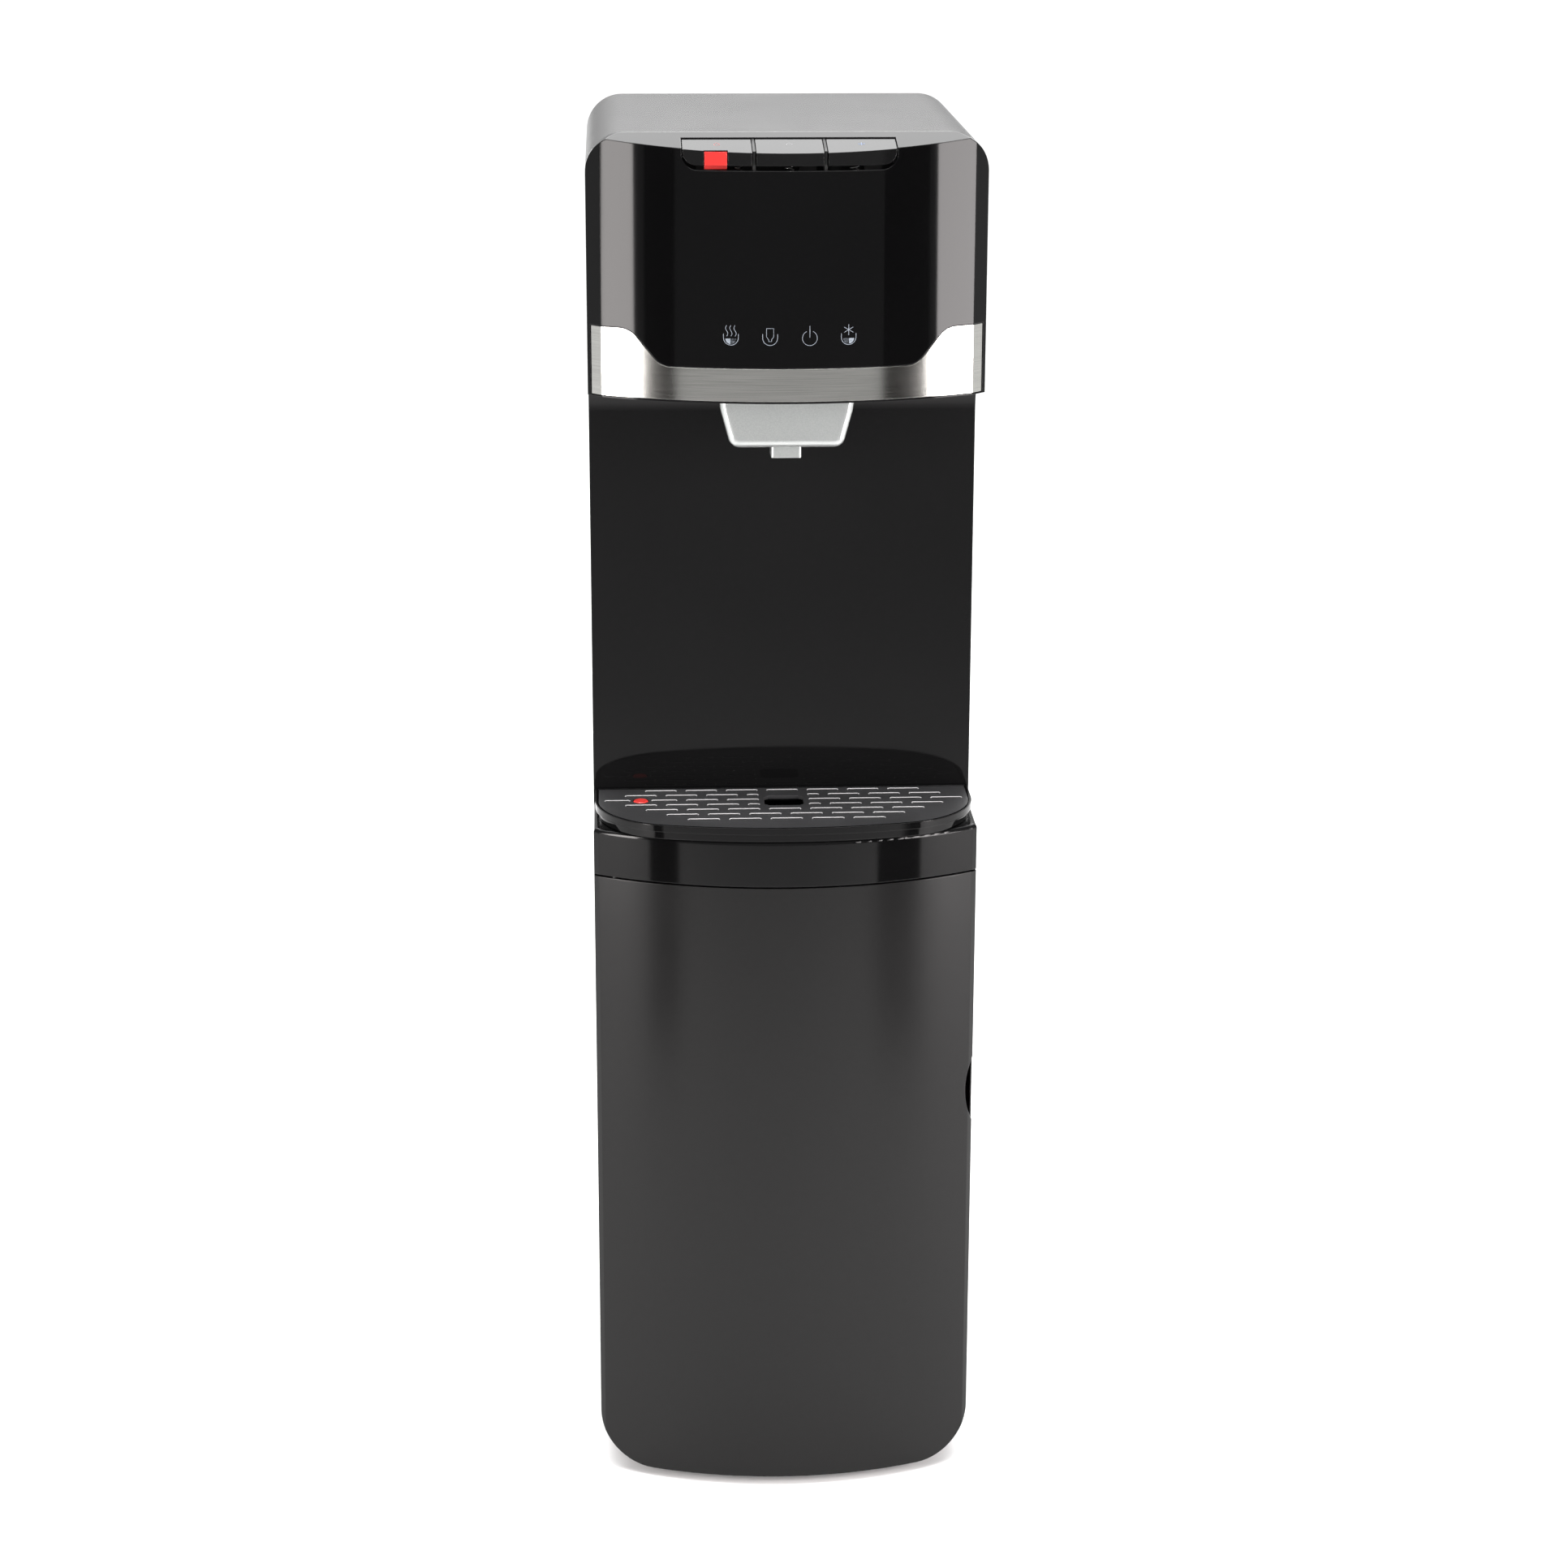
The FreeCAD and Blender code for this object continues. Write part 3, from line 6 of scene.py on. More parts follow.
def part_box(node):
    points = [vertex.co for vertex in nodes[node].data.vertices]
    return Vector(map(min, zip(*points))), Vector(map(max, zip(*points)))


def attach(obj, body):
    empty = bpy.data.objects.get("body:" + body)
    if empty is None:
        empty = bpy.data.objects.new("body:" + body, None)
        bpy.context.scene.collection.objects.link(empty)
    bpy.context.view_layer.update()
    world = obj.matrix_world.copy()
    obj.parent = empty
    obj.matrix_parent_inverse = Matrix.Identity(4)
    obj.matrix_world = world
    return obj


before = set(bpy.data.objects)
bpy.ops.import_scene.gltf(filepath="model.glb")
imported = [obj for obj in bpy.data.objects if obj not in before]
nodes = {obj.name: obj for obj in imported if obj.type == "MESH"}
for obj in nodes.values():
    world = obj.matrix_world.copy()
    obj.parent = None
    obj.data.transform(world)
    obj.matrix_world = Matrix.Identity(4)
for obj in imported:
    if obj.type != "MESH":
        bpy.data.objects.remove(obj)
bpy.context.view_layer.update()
bpy.ops.object.select_all(action="DESELECT")
bpy.context.scene.view_settings.view_transform = "Standard"


# The room: a pale matt studio floor that runs out far behind the dispenser. Its colour is painted darker
# towards the front as painted shade, standing in for the weaker light there, with faint cloudy unevenness in
# that painted shade.
floor_paint = bpy.data.materials.new("studio_floor")
floor_paint.use_nodes = True
paint = floor_paint.node_tree
place = paint.nodes.new("ShaderNodeTexCoord")
clouds = paint.nodes.new("ShaderNodeTexNoise")
clouds.inputs["Scale"].default_value = 1.5
axes = paint.nodes.new("ShaderNodeSeparateXYZ")
edge = paint.nodes.new("ShaderNodeMath")
edge.operation = "MULTIPLY_ADD"
edge.inputs[1].default_value = 0.3
# Painted shade: the floor's colour runs from 0.92 behind the dispenser down to 0.40 far in front.
painted_front_shade = paint.nodes.new("ShaderNodeMapRange")
painted_front_shade.interpolation_type = "SMOOTHSTEP"
painted_front_shade.inputs["From Min"].default_value = -2.6
painted_front_shade.inputs["From Max"].default_value = 0.0
painted_front_shade.inputs["To Min"].default_value = 0.40
painted_front_shade.inputs["To Max"].default_value = 0.92
paint.links.new(place.outputs["Object"], clouds.inputs["Vector"])
paint.links.new(place.outputs["Object"], axes.inputs["Vector"])
paint.links.new(clouds.outputs["Fac"], edge.inputs[0])
paint.links.new(axes.outputs["Y"], edge.inputs[2])
paint.links.new(edge.outputs["Value"], painted_front_shade.inputs["Value"])
matt = paint.nodes["Principled BSDF"]
matt.inputs["Roughness"].default_value = 0.9
matt.inputs["Specular IOR Level"].default_value = 0.1
paint.links.new(painted_front_shade.outputs["Result"], matt.inputs["Base Color"])
bpy.ops.mesh.primitive_circle_add(vertices=64, radius=30, fill_type="NGON", location=(0, 0, 0))
floor = bpy.context.object
floor.name = "floor"
floor.data.materials.append(floor_paint)

# The light: an even pale sky, one broad soft sun for the floor, a soft box overhead, a bright card high
# behind that the top reflects, and two tall strip boxes whose reflections run down the bowed front.
sky = bpy.data.worlds.new("soft_sky")
sky.use_nodes = True
glow = sky.node_tree.nodes["Background"]
glow.inputs["Color"].default_value = (0.97, 0.97, 0.97, 1)
glow.inputs["Strength"].default_value = 0.55
bpy.context.scene.world = sky


def add_light(kind, name, place, aim, power, width=1.0, height=1.0, colour=(1, 1, 1)):
    """A lamp turned to face a point and hidden from the camera. A sun's width is its angle in degrees."""
    lamp = bpy.data.lights.new(name, kind)
    lamp.energy = power
    lamp.color = colour
    if kind == "AREA":
        lamp.shape = "RECTANGLE"
        lamp.size = width
        lamp.size_y = height
    else:
        lamp.angle = math.radians(width)
    holder = bpy.data.objects.new(name, lamp)
    holder.location = place
    holder.rotation_euler = (Vector(aim) - Vector(place)).to_track_quat("-Z", "Y").to_euler()
    holder.visible_camera = False
    bpy.context.collection.objects.link(holder)


STRIP_LEVEL = 0.80
STRIP_LENGTH = 1.9
STRIP_AIM = (0, 0, STRIP_LEVEL)
add_light("SUN", "high_sun", (0, 1, 6), (0, 0, 0), power=2.2, width=60)
add_light("AREA", "overhead_box", (0, -0.6, 3.3), (0, -0.1, 0.5), power=75, width=2.2, height=2.2)
add_light("AREA", "left_strip", (-1.98, -1.72, STRIP_LEVEL), STRIP_AIM, power=84, width=0.45,
          height=STRIP_LENGTH, colour=(1, 0.955, 0.94))
add_light("AREA", "right_strip", (2.12, -1.54, STRIP_LEVEL), STRIP_AIM, power=110, width=0.60,
          height=STRIP_LENGTH, colour=(1, 0.955, 0.95))
add_light("AREA", "rear_card", (0, 4.2, 3.2), (0, 0, 1.0), power=120, width=5.0, height=2.4)

# Two black flags stand between the camera and the strip boxes. Only mirror-like surfaces see them: they draw
# the dark bands beside the reflections on the bowed front.
flag_cloth = bpy.data.materials.new("flag_cloth")
flag_cloth.use_nodes = True
cloth = flag_cloth.node_tree.nodes["Principled BSDF"]
cloth.inputs["Base Color"].default_value = (0.004, 0.0035, 0.003, 1)
cloth.inputs["Specular IOR Level"].default_value = 0.0
FLAG_REACH = 1.15
FLAG_LENGTH = 1.6
FLAG_CENTRE_Y = -0.1
for side, degrees, width in (("left", -38.5, 0.20), ("right", 40, 0.30)):
    way = math.radians(degrees)
    stand = (FLAG_REACH * math.sin(way), FLAG_CENTRE_Y - FLAG_REACH * math.cos(way), STRIP_LEVEL)
    bpy.ops.mesh.primitive_plane_add(size=1, rotation=(math.pi / 2, 0, way), location=stand)
    flag = bpy.context.object
    flag.name = side + "_flag"
    flag.scale = (width, FLAG_LENGTH, 1)
    flag.data.materials.append(flag_cloth)
    flag.visible_camera = False
    flag.visible_diffuse = False
    flag.visible_shadow = False

# The camera stands in front, a little left of the middle, and looks down at the dispenser through a long
# lens. Pitch, yaw and roll are in degrees: down, to the right and about the line of sight.
CAMERA_PLACE = (-0.13144, -2.75002, 1.36290)
PITCH, YAW, ROLL = 16.55, 2.84, 0.159
lens = bpy.data.cameras.new("camera")
lens.lens = 80.69
lens.sensor_width = 36
lens.clip_end = 100
camera = bpy.data.objects.new("camera", lens)
aim = Euler((math.radians(90 - PITCH), 0, math.radians(-YAW))).to_matrix().to_4x4()
camera.matrix_world = Matrix.Translation(CAMERA_PLACE) @ aim @ Matrix.Rotation(math.radians(ROLL), 4, "Z")
bpy.context.collection.objects.link(camera)
bpy.context.scene.camera = camera


# The base pan is a deep tub of black polypropylene that carries the whole cabinet. The bottle stands on the
# dished platform that drops into it. Both are injection moulded with a fine spark-eroded grain, and so is the
# hanger of the suction probe.
def finish(name, colour, rough, metal=0.0, gloss=0.5, edge=0.0006):
    """A material with its shader set, object coordinates to hang patterns on, and softly rounded edges."""
    material = bpy.data.materials.new(name)
    material.use_nodes = True
    tree = material.node_tree
    shader = tree.nodes["Principled BSDF"]
    shader.inputs["Base Color"].default_value = (*colour, 1)
    shader.inputs["Roughness"].default_value = rough
    shader.inputs["Metallic"].default_value = metal
    shader.inputs["Specular IOR Level"].default_value = gloss
    place = tree.nodes.new("ShaderNodeTexCoord")
    place.name = "place"
    rounding = tree.nodes.new("ShaderNodeBevel")
    rounding.inputs["Radius"].default_value = edge
    rounding.name = "rounding"
    tree.links.new(rounding.outputs["Normal"], shader.inputs["Normal"])
    return material


def pattern(material, kind, scale, stretch=(1, 1, 1)):
    """A noise or cell pattern, drawn out along the piece's axes by the stretch; gives its value socket."""
    tree = material.node_tree
    mapping = tree.nodes.new("ShaderNodeMapping")
    mapping.inputs["Scale"].default_value = stretch
    texture = tree.nodes.new("ShaderNodeTexVoronoi" if kind == "cells" else "ShaderNodeTexNoise")
    texture.inputs["Scale"].default_value = scale
    tree.links.new(tree.nodes["place"].outputs["Object"], mapping.inputs["Vector"])
    tree.links.new(mapping.outputs["Vector"], texture.inputs["Vector"])
    if kind == "noise":
        texture.inputs["Detail"].default_value = 2
        return texture.outputs["Fac"]
    return texture.outputs["Distance"]


def vary(material, value, low, high, socket="Roughness"):
    """Lets a pattern move one of the shader's numbers between two values."""
    tree = material.node_tree
    spread = tree.nodes.new("ShaderNodeMapRange")
    spread.interpolation_type = "SMOOTHSTEP"
    spread.inputs["From Min"].default_value = 0.2
    spread.inputs["From Max"].default_value = 0.8
    spread.inputs["To Min"].default_value = low
    spread.inputs["To Max"].default_value = high
    tree.links.new(value, spread.inputs["Value"])
    tree.links.new(spread.outputs["Result"], tree.nodes["Principled BSDF"].inputs[socket])


def tone(material, value, dark, light, low=0.25, high=0.75):
    """Lets a pattern move the colour between two tones."""
    tree = material.node_tree
    ramp = tree.nodes.new("ShaderNodeValToRGB")
    ramp.color_ramp.interpolation = "EASE"
    ramp.color_ramp.elements[0].position = low
    ramp.color_ramp.elements[0].color = (*dark, 1)
    ramp.color_ramp.elements[1].position = high
    ramp.color_ramp.elements[1].color = (*light, 1)
    tree.links.new(value, ramp.inputs["Fac"])
    tree.links.new(ramp.outputs["Color"], tree.nodes["Principled BSDF"].inputs["Base Color"])


def emboss(material, value, depth, strength=0.3):
    """Presses a pattern into the surface, over the rounded edges."""
    tree = material.node_tree
    relief = tree.nodes.new("ShaderNodeBump")
    relief.inputs["Distance"].default_value = depth
    relief.inputs["Strength"].default_value = strength
    shader = tree.nodes["Principled BSDF"]
    before = shader.inputs["Normal"].links[0].from_socket
    tree.links.new(before, relief.inputs["Normal"])
    tree.links.new(value, relief.inputs["Height"])
    tree.links.new(relief.outputs["Normal"], shader.inputs["Normal"])


def moulded(name, dark, light, rough, gloss=0.5, grain=900, depth=0.0002, strength=0.25, edge=0.0006):
    """Moulded plastic: flow marks in its tone and sheen, and the mould's fine grain."""
    material = finish(name, light, rough, gloss=gloss, edge=edge)
    flow = pattern(material, "noise", 9, (1, 1, 0.4))
    tone(material, flow, dark, light)
    vary(material, pattern(material, "noise", 30), rough * 0.85, rough * 1.15)
    emboss(material, pattern(material, "noise", grain), depth, strength)
    return material


def dress(material, *names):
    """Puts a material on the named CAD nodes."""
    for name in names:
        for slot in nodes[name].material_slots:
            slot.material = material


pan_plastic = moulded("pan_plastic", (0.020, 0.020, 0.021), (0.032, 0.032, 0.033), 0.55)
dress(pan_plastic, "base_pan", "bottle_platform", "probe_hanger")


# Four screw-in feet of black rubber, scuffed pale and dusty where they rub on the floor. The cord's gland at
# the back and the grommets under the compressor are moulded from the same rubber and pushed into their holes.
foot_rubber = finish("foot_rubber", (0.03, 0.03, 0.03), 0.8, gloss=0.3)
tone(foot_rubber, pattern(foot_rubber, "noise", 60), (0.022, 0.022, 0.022), (0.060, 0.058, 0.055))
emboss(foot_rubber, pattern(foot_rubber, "noise", 500), 0.0003)
dress(foot_rubber, "levelling_feet", "cord_gland", "compressor_grommets")


# The side panels are sheet steel, folded at both ends and powder coated black. The coat has the slight orange
# peel and sheen of a baked powder, rubbed a little smoother in places by hands.
side_coat = finish("side_coat", (0.012, 0.012, 0.013), 0.30, gloss=0.35, edge=0.0012)
tone(side_coat, pattern(side_coat, "noise", 5), (0.0110, 0.0110, 0.0115), (0.0135, 0.0135, 0.0140))
vary(side_coat, pattern(side_coat, "noise", 14), 0.29, 0.33)
emboss(side_coat, pattern(side_coat, "noise", 420), 0.00025, 0.18)
dress(side_coat, "side_panel_left", "side_panel_right")


# The back panel, the two inner shelves and the power supply's case are bare zinc-coated sheet steel, stamped
# and folded, with the coat's frosty crystals. The panel is held by ten screws.
def zinc(name, dark, light, rough):
    """Galvanised sheet: large flat crystals that differ a little in tone and sheen."""
    material = finish(name, light, rough, metal=0.85)
    crystals = pattern(material, "cells", 90, (1, 0.6, 1)).node.outputs["Color"]
    tone(material, crystals, dark, light, 0.0, 1.0)
    vary(material, pattern(material, "noise", 40), rough * 0.8, rough * 1.2)
    emboss(material, pattern(material, "noise", 300), 0.0001, 0.1)
    return material


back_zinc = zinc("back_zinc", (0.20, 0.205, 0.21), (0.29, 0.30, 0.31), 0.40)
dress(back_zinc, "back_panel")
shelf_zinc = zinc("shelf_zinc", (0.34, 0.35, 0.36), (0.48, 0.49, 0.50), 0.36)
dress(shelf_zinc, "mid_shelf", "tank_shelf", "power_supply")


# Pan-head screws, hinge plates and the door's strike are pressed or turned steel with a bright zinc plating,
# and so are the three wire springs under the buttons. The screws hold the back panel, and the plates are
# screwed to the cabinet.
plating = finish("zinc_plating", (0.62, 0.62, 0.62), 0.28, metal=1.0, edge=0.0003)
tone(plating, pattern(plating, "noise", 70), (0.50, 0.50, 0.49), (0.68, 0.68, 0.68))
vary(plating, pattern(plating, "noise", 200), 0.2, 0.4)
emboss(plating, pattern(plating, "noise", 900, (1, 1, 0.1)), 0.00005, 0.2)
dress(plating, "back_panel_screws", "lower_hinge", "upper_hinge", "catch_plate",
      "hot_button_spring", "room_button_spring", "cold_button_spring")


# The condenser is a bent steel tube with wires welded across it, dipped in black enamel that gathers dust. It
# hangs on the back panel. The compressor's pressed shell has the same enamel.
tube_enamel = finish("tube_enamel", (0.02, 0.02, 0.02), 0.38, gloss=0.4, edge=0.0002)
tone(tube_enamel, pattern(tube_enamel, "noise", 45), (0.014, 0.014, 0.014), (0.045, 0.043, 0.040))
emboss(tube_enamel, pattern(tube_enamel, "noise", 600), 0.0002)
dress(tube_enamel, "condenser", "compressor")


# The door is one tall bowed moulding in black ABS with a satin gloss, which blurs what it mirrors into slow
# gradients. A grey liner snaps in behind it and holds the ferrite magnet that keeps it shut.
door_satin = finish("door_satin", (0.005, 0.005, 0.005), 0.20, gloss=0.20, edge=0.0012)
tone(door_satin, pattern(door_satin, "noise", 4, (1, 1, 0.3)), (0.0042, 0.0041, 0.0041),
     (0.0054, 0.0053, 0.0053))
vary(door_satin, pattern(door_satin, "noise", 11), 0.20, 0.24)
emboss(door_satin, pattern(door_satin, "noise", 1500), 0.00006, 0.1)
dress(door_satin, "door_skin")
liner_plastic = moulded("liner_plastic", (0.085, 0.085, 0.088), (0.115, 0.115, 0.12), 0.5)
dress(liner_plastic, "door_liner")
magnet_ferrite = moulded("magnet_ferrite", (0.035, 0.034, 0.034), (0.065, 0.063, 0.062), 0.7, grain=1400)
dress(magnet_ferrite, "door_magnet")


# The band under the alcove, the drip tray, the head's fascia, its top and the alcove's wall are high-gloss
# black ABS from polished moulds, screwed together from inside. They are mirror smooth, with the faintest sink
# ripple and fine wiping marks, and the top is a little duller.
def polished(name, base, rough, gloss, ripple=0.12, spread=0.3, edge=0.0012):
    """Gloss moulding: near-mirror sheen with wiping marks, and a long soft ripple from the moulding."""
    material = finish(name, base, rough, gloss=gloss, edge=edge)
    lighter = tuple(channel * 1.25 for channel in base)
    tone(material, pattern(material, "noise", 6), base, lighter)
    vary(material, pattern(material, "noise", 22, (1, 1, 0.25)), rough * (1 - spread), rough * (1 + spread))
    emboss(material, pattern(material, "noise", 3.5, (1, 1, 0.25)), 0.0010, ripple)
    return material


piano_black = polished("piano_black", (0.0015, 0.0015, 0.0016), 0.055, 0.115)
dress(piano_black, "front_fascia")
band_black = polished("band_black", (0.0020, 0.0020, 0.0021), 0.08, 0.16, edge=0.0010)
dress(band_black, "lower_housing", "drip_tray")
top_black = polished("top_black", (0.008, 0.0078, 0.0079), 0.22, 0.46, ripple=0.004, spread=0.05)
dress(top_black, "top_cover")
wall_black = polished("wall_black", (0.0030, 0.0030, 0.0031), 0.06, 0.18)
dress(wall_black, "alcove_liner")


# The drip grille is a satin dark grey plate with rows of short slots, moulded in ABS with a fine matt grain.
# It lies loose in the tray's rim and lifts out by its finger hole.
grille_plastic = moulded("grille_plastic", (0.028, 0.028, 0.029), (0.044, 0.044, 0.046), 0.34, grain=1500,
                         depth=0.0003, strength=0.35, edge=0.0005)
dress(grille_plastic, "drip_grille")


# Each slot of the grille has a raised lip round its back edge and both ends, moulded with the plate. The lips
# are painted pale grey as a painted highlight, standing in for the light caught by the slots' back walls.
# They stand a third of a millimetre proud, so they catch the light.
# Painted highlight: the lips' pale grey stands in for light on the slots' back walls, not the plastic's own
# colour.
lip_highlight_paint = moulded("lip_highlight_paint", (0.42, 0.42, 0.425), (0.56, 0.56, 0.565), 0.20, grain=1200,
                      depth=0.00005)
LIP_RADIUS = 0.00042
LIP_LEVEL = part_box("drip_grille")[1][2] - 0.0001
FLOAT_X = (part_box("overflow_float")[0][0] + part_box("overflow_float")[1][0]) / 2
SLOT_PITCH = 0.0322
SLOT_HALF = 0.0123
SLOT_END = 0.0015
SHORTEST_SLOT = 0.006
FIRST_ROW = -0.069
ROW_STEP = 0.0129
ROW_REACHES = (3, 3.5, 4, 3.5, 3, 2.5, 2)
FINGER_ROWS = (1, 2, 3)
FLOAT_ROW = 2
FINGER_RESERVE = 0.0196
FLOAT_RESERVE = 0.0086


def wire_piece(name, radius, runs, capped=False):
    """A mesh of round wire laid along runs of points."""
    curve = bpy.data.curves.new(name, "CURVE")
    curve.dimensions = "3D"
    curve.bevel_depth = radius
    curve.bevel_resolution = 1
    curve.use_fill_caps = capped
    for run in runs:
        line = curve.splines.new("POLY")
        line.points.add(len(run) - 1)
        for point, spot in zip(line.points, run):
            point.co = (*spot, 1)
    piece = bpy.data.objects.new(name, curve)
    bpy.context.collection.objects.link(piece)
    bpy.ops.object.select_all(action="DESELECT")
    piece.select_set(True)
    bpy.context.view_layer.objects.active = piece
    bpy.ops.object.convert(target="MESH")
    return bpy.context.object


def slot_rows():
    """Left end, right end and row of each staggered slot, clear of the finger hole and of the float."""
    for row, reach in enumerate(ROW_REACHES):
        kept_clear = [(0, FINGER_RESERVE)] if row in FINGER_ROWS else []
        if row == FLOAT_ROW:
            kept_clear.append((FLOAT_X, FLOAT_RESERVE))
        for step in range(int(2 * reach) + 1):
            middle = (step - reach) * SLOT_PITCH
            left, right = middle - SLOT_HALF, middle + SLOT_HALF
            for centre, reserve in kept_clear:
                if left < centre < right:
                    left = right
                elif centre <= left < centre + reserve:
                    left = centre + reserve
                elif centre - reserve < right <= centre:
                    right = centre - reserve
            if right - left > SHORTEST_SLOT:
                yield left, right, FIRST_ROW - ROW_STEP * row


def slot_lip(left, right, y):
    """Points of one lip: round the left end, along the back edge and round the right end."""
    ends = []
    for x, turn in ((left + SLOT_END, 1), (right - SLOT_END, -1)):
        swing = [math.radians(90 + turn * degrees) for degrees in (125, 100, 75, 50, 25, 0)]
        hook = [(x + SLOT_END * math.cos(a), y + SLOT_END * math.sin(a), LIP_LEVEL) for a in swing]
        ends.append(hook if turn > 0 else hook[::-1])
    return ends[0] + ends[1]


# The slot lips carry that painted highlight along the back edge and ends of every slot.
slot_highlight_lips = wire_piece("slot_highlight_lips", LIP_RADIUS, [slot_lip(*slot) for slot in slot_rows()], capped=True)
bpy.ops.object.shade_smooth()
slot_highlight_lips.data.materials.append(lip_highlight_paint)
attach(slot_highlight_lips, "grille")


# The overflow float is a red moulded bead that stands in a hole of the grille. It rises on the water when the
# tray is full.
float_plastic = moulded("float_plastic", (0.62, 0.030, 0.028), (0.74, 0.055, 0.045), 0.25, grain=700,
                        depth=0.0001)
dress(float_plastic, "overflow_float")


# The trim band is stamped stainless steel, brushed from side to side, so its reflections spread up and down
# and fine lines run along it. It is bonded into its recess in the fascia.
brushed_trim = finish("brushed_trim", (0.42, 0.42, 0.40), 0.18, metal=1.0, edge=0.0005)
steel_tree = brushed_trim.node_tree
steel = steel_tree.nodes["Principled BSDF"]
steel.inputs["Anisotropic"].default_value = 0.8
steel.inputs["Anisotropic Rotation"].default_value = 0.25
grain_way = steel_tree.nodes.new("ShaderNodeTangent")
grain_way.direction_type = "RADIAL"
grain_way.axis = "Z"
steel_tree.links.new(grain_way.outputs["Tangent"], steel.inputs["Tangent"])
lines = pattern(brushed_trim, "noise", 55, (0.35, 0.35, 60))
tone(brushed_trim, lines, (0.36, 0.36, 0.34), (0.47, 0.465, 0.445), 0.3, 0.7)
vary(brushed_trim, lines, 0.15, 0.20)
emboss(brushed_trim, lines, 0.00004, 0.1)
dress(brushed_trim, "trim_band")


# Four lamp icons are printed in dim blue-grey ink on the fascia, over the lamp board: hot water, bottle,
# power and cold water. They are generic pictograms, each a few thin strokes that follow the bowed front.
icon_ink = finish("icon_ink", (0.16, 0.18, 0.21), 0.4, edge=0.0001)
tone(icon_ink, pattern(icon_ink, "noise", 700), (0.13, 0.15, 0.175), (0.20, 0.225, 0.26))
emboss(icon_ink, pattern(icon_ink, "noise", 2500), 0.00005)
ICON_HEIGHT = 0.9386
ICON_SIZE = 1.2
OUTER_ICON = 0.0436
INNER_ICON = 0.0147
STROKE = 0.00022
FLATNESS = 0.3


def arc(centre, radius, start, end, steps=20):
    """Points of an arc in an icon's own plane, in mm, with angles in degrees."""
    angles = [math.radians(start + (end - start) * step / steps) for step in range(steps + 1)]
    return [(centre[0] + radius * math.cos(a), centre[1] + radius * math.sin(a)) for a in angles]


def wave(x, low, high, swing=0.7, steps=12):
    """Points of one rising wisp of steam."""
    return [(x + swing * math.sin(math.pi * 2 * step / steps), low + (high - low) * step / steps)
            for step in range(steps + 1)]


def cup(top=3.0, half=4.6, low=-4.0):
    """Points of an open U, the outline of a round-bottomed cup."""
    return [(-half, top)] + arc((0, low + half), half, 180, 360) + [(half, top)]


def flake(height, radius):
    """Three strokes crossed over one point: a snowflake."""
    ends = [(radius * math.cos(a), radius * math.sin(a)) for a in (math.pi / 6, math.pi / 2, 5 * math.pi / 6)]
    return [[(x, height + z), (-x, height - z)] for x, z in ends]


def printed(name, strokes, fills, body, ink, spot, normal, size=1.0):
    """One symbol: its strokes and half-round fills, laid on a surface at a spot and pressed flat."""
    unit = size / 1000
    runs = [[(x * unit, 0, z * unit) for x, z in stroke] for stroke in strokes]
    symbol = wire_piece(name, STROKE, runs)
    for centre, radius in fills:
        middle = (centre[0] * unit, 0, centre[1] * unit)
        bpy.ops.mesh.primitive_circle_add(vertices=32, radius=radius * unit, fill_type="NGON",
                                          location=middle, rotation=(math.pi / 2, 0, 0))
        half = bpy.context.object
        bpy.ops.object.mode_set(mode="EDIT")
        bpy.ops.mesh.select_all(action="SELECT")
        bpy.ops.mesh.bisect(plane_co=(0, 0, middle[2]), plane_no=(0, 0, 1), clear_outer=True)
        bpy.ops.mesh.select_all(action="SELECT")
        bpy.ops.mesh.extrude_region_move(TRANSFORM_OT_translate={"value": (0, STROKE, 0)})
        bpy.ops.mesh.select_all(action="SELECT")
        bpy.ops.mesh.normals_make_consistent()
        bpy.ops.object.mode_set(mode="OBJECT")
        half.select_set(True)
        symbol.select_set(True)
        bpy.context.view_layer.objects.active = symbol
        bpy.ops.object.join()
    turn = Vector((0, -1, 0)).rotation_difference(Vector(normal)).to_matrix().to_4x4()
    flatten = Matrix.Scale(FLATNESS, 4, (0, 1, 0))
    symbol.data.transform(Matrix.Translation(spot) @ turn @ flatten @ symbol.matrix_world)
    symbol.matrix_world = Matrix.Identity(4)
    symbol.data.materials.clear()
    symbol.data.materials.append(ink)
    for face in symbol.data.polygons:
        face.material_index = 0
        face.use_smooth = False
    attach(symbol, body)


def front_spot(x, z):
    """The point of the fascia's face straight in front of x at height z, and the way it faces."""
    _, spot, normal, _ = nodes["front_fascia"].ray_cast((x, -0.3, z), (0, 1, 0))
    return spot, normal


bottle_side = [(2.2, 6.5), (2.2, 1.2), (0.9, -0.4), (0.9, -1.6)]
bottle = [(-2.2, 6.5)] + bottle_side + [(-x, z) for x, z in reversed(bottle_side)]
steam = [wave(x, 1.5, 8.2) for x in (-2.6, 0, 2.6)]
water = [((0, 0.0), 3.4)]
pictures = {
    "icon_hot": (-OUTER_ICON, [cup()] + steam, water),
    "icon_bottle": (-INNER_ICON, [cup(), bottle], []),
    "icon_power": (INNER_ICON, [arc((0, 0.4), 4.6, 115, 425), [(0, 0.8), (0, 8.0)]], []),
    "icon_cold": (OUTER_ICON, [cup()] + flake(5.2, 3.3), water),
}
for name, (x, strokes, fills) in pictures.items():
    spot, normal = front_spot(x, ICON_HEIGHT)
    printed(name, strokes, fills, "cabinet", icon_ink, spot, normal, ICON_SIZE)


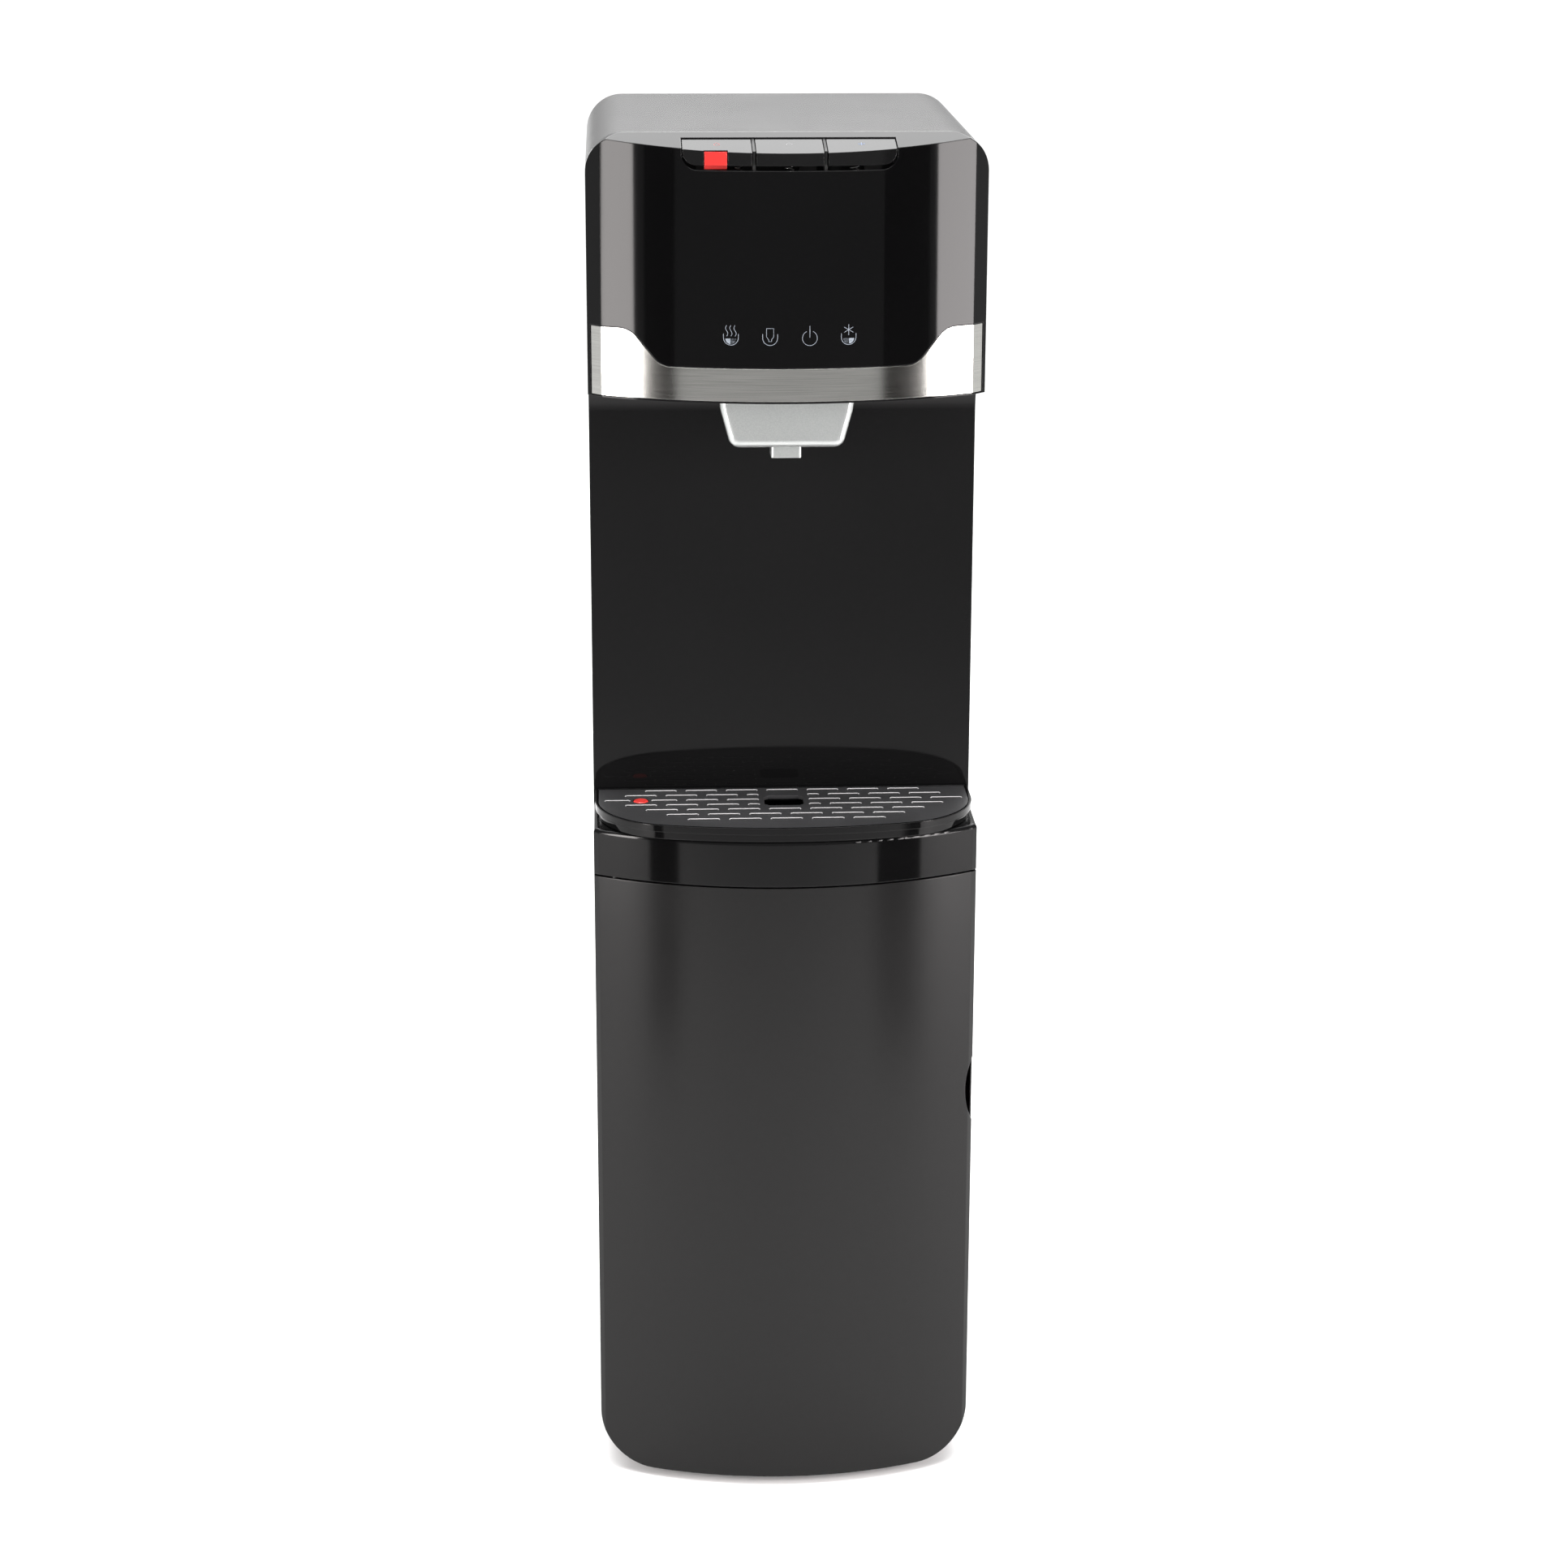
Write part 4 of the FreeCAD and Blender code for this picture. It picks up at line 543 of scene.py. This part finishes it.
# The button carrier is a matt black frame behind the fascia. The three buttons are gloss black keys that rock
# on axles at their rear edge, and a red child lock slides in the hot one. The carrier's plastic also makes
# the housings of the rear rockers, the switches and thermostats, and the cap of the drain.
carrier_plastic = moulded("carrier_plastic", (0.010, 0.010, 0.010), (0.016, 0.016, 0.016), 0.5)
dress(carrier_plastic, "button_carrier", "rocker_housings", "microswitches", "thermostats", "drain_cap")
button_gloss = polished("button_gloss", (0.003, 0.003, 0.0031), 0.12, 0.2, ripple=0.01, edge=0.0007)
dress(button_gloss, "hot_button", "room_button", "cold_button")
lock_gloss = moulded("lock_gloss", (0.40, 0.016, 0.014), (0.48, 0.022, 0.019), 0.18, grain=600, depth=0.00008,
                     edge=0.0006)
dress(lock_gloss, "child_lock")


# A small symbol is pad printed on each button's top, in thin matt ink: a red drop for hot, a grey one for
# room temperature and a dim blue snowflake for cold.
def top_spot(node, x, y):
    """The point of a button's top under x, y, and the way it faces."""
    _, spot, normal, _ = nodes[node].ray_cast((x, y, 1.2), (0, 0, -1))
    return spot, normal


def symbol_ink(name, colour):
    """Thin pad-printed ink, a little uneven."""
    ink = finish(name, colour, 0.35, edge=0.0001)
    tone(ink, pattern(ink, "noise", 900), tuple(channel * 0.8 for channel in colour), colour)
    return ink


KEY_PITCH = 0.0532
MARK_ROW = -0.150
drop = [(0, 3.4)] + arc((0, -0.6), 2.1, 25, -205) + [(0, 3.4)]
marks = {
    "mark_hot": ("hot_button", -KEY_PITCH, [drop], symbol_ink("red_ink", (0.42, 0.06, 0.05))),
    "mark_room": ("room_button", 0.0, [drop], symbol_ink("grey_ink", (0.20, 0.20, 0.21))),
    "mark_cold": ("cold_button", KEY_PITCH, flake(0, 3.0), symbol_ink("blue_ink", (0.10, 0.17, 0.34))),
}
for name, (button, x, strokes, ink) in marks.items():
    spot, normal = top_spot(button, x, MARK_ROW)
    printed(name, strokes, [], button, ink, spot, normal)


# The nozzle housing and its spout are moulded ABS with a satin silver lacquer, fine metallic flakes in it.
# The housing is screwed up under the head, and the spout plugs into it.
silver_lacquer = finish("silver_lacquer", (0.38, 0.39, 0.39), 0.24, metal=0.7, gloss=0.5, edge=0.0010)
tone(silver_lacquer, pattern(silver_lacquer, "noise", 2200), (0.35, 0.365, 0.36), (0.44, 0.455, 0.45))
vary(silver_lacquer, pattern(silver_lacquer, "noise", 12), 0.22, 0.27)
dress(silver_lacquer, "nozzle_housing", "spout")


# Inside, the cold and hot tanks are drawn stainless steel, brushed round their walls. Each stands in its
# jacket on the tank shelf.
tank_steel = finish("tank_steel", (0.62, 0.62, 0.63), 0.3, metal=1.0)
turning = pattern(tank_steel, "noise", 60, (0.5, 0.5, 40))
tone(tank_steel, turning, (0.54, 0.54, 0.55), (0.68, 0.68, 0.69))
vary(tank_steel, turning, 0.22, 0.38)
dress(tank_steel, "cold_tank", "hot_tank")


# The cooling coil round the cold tank and the filter drier are drawn copper, bent or spun to shape, brazed,
# and tarnished brown in patches by the flame.
copper = finish("copper", (0.72, 0.38, 0.24), 0.32, metal=1.0, edge=0.0003)
tone(copper, pattern(copper, "noise", 35), (0.42, 0.19, 0.11), (0.78, 0.42, 0.27))
vary(copper, pattern(copper, "noise", 90), 0.24, 0.48)
dress(copper, "evaporator_coil", "filter_drier")


# The cold tank's jacket is moulded from white polystyrene beads in two pieces that close round it. The hot
# tank wears a wrapped sleeve of grey mineral felt.
bead_foam = finish("bead_foam", (0.88, 0.88, 0.87), 0.85, gloss=0.2)
beads = pattern(bead_foam, "cells", 260)
tone(bead_foam, beads, (0.90, 0.90, 0.89), (0.74, 0.74, 0.73), 0.2, 0.8)
emboss(bead_foam, beads, 0.0006, 0.6)
dress(bead_foam, "tank_insulation")
felt = finish("felt", (0.50, 0.49, 0.46), 0.95, gloss=0.1)
fibres = pattern(felt, "noise", 400, (1, 1, 0.3))
tone(felt, fibres, (0.36, 0.35, 0.33), (0.58, 0.57, 0.54))
emboss(felt, fibres, 0.0010, 0.7)
dress(felt, "hot_tank_jacket")


# The hoses are extruded food-grade silicone, pale and slightly cloudy. They are pushed over the stubs of the
# pump, the tanks and the valves.
silicone = finish("silicone", (0.80, 0.82, 0.82), 0.35, gloss=0.45)
tone(silicone, pattern(silicone, "noise", 50), (0.70, 0.73, 0.73), (0.84, 0.86, 0.86))
emboss(silicone, pattern(silicone, "noise", 500), 0.0001)
dress(silicone, "suction_hose", "outlet_tubes")


# The pump, the valves, the drain stub, the suction probe and its cap are white moulded plastics with a soft
# sheen, screwed or snapped to the shelves and the back panel.
white_plastic = moulded("white_plastic", (0.72, 0.72, 0.70), (0.82, 0.82, 0.80), 0.38)
dress(white_plastic, "water_pump", "solenoid_valves", "drain_fitting", "probe_cap", "suction_probe")


# The lamp board behind the icons and the control board are green glass-fibre laminate. A satin solder mask
# lies over their fine tracks, and each is screwed to its carrier.
board_green = finish("board_green", (0.03, 0.20, 0.08), 0.35, gloss=0.5, edge=0.0002)
tone(board_green, pattern(board_green, "cells", 300, (1, 1, 0.4)), (0.02, 0.14, 0.055), (0.05, 0.27, 0.11))
emboss(board_green, pattern(board_green, "cells", 300, (1, 1, 0.4)), 0.0001)
dress(board_green, "indicator_board", "control_board")


# Two rocker switches sit high on the back, red for heating and green for cooling. They are moulded nylon and
# rock on stubs in their housings.
red_rocker = moulded("red_rocker", (0.48, 0.025, 0.022), (0.62, 0.045, 0.035), 0.25, grain=800, depth=0.0001)
dress(red_rocker, "hot_rocker")
green_rocker = moulded("green_rocker", (0.03, 0.30, 0.07), (0.06, 0.42, 0.11), 0.25, grain=800, depth=0.0001)
dress(green_rocker, "cold_rocker")
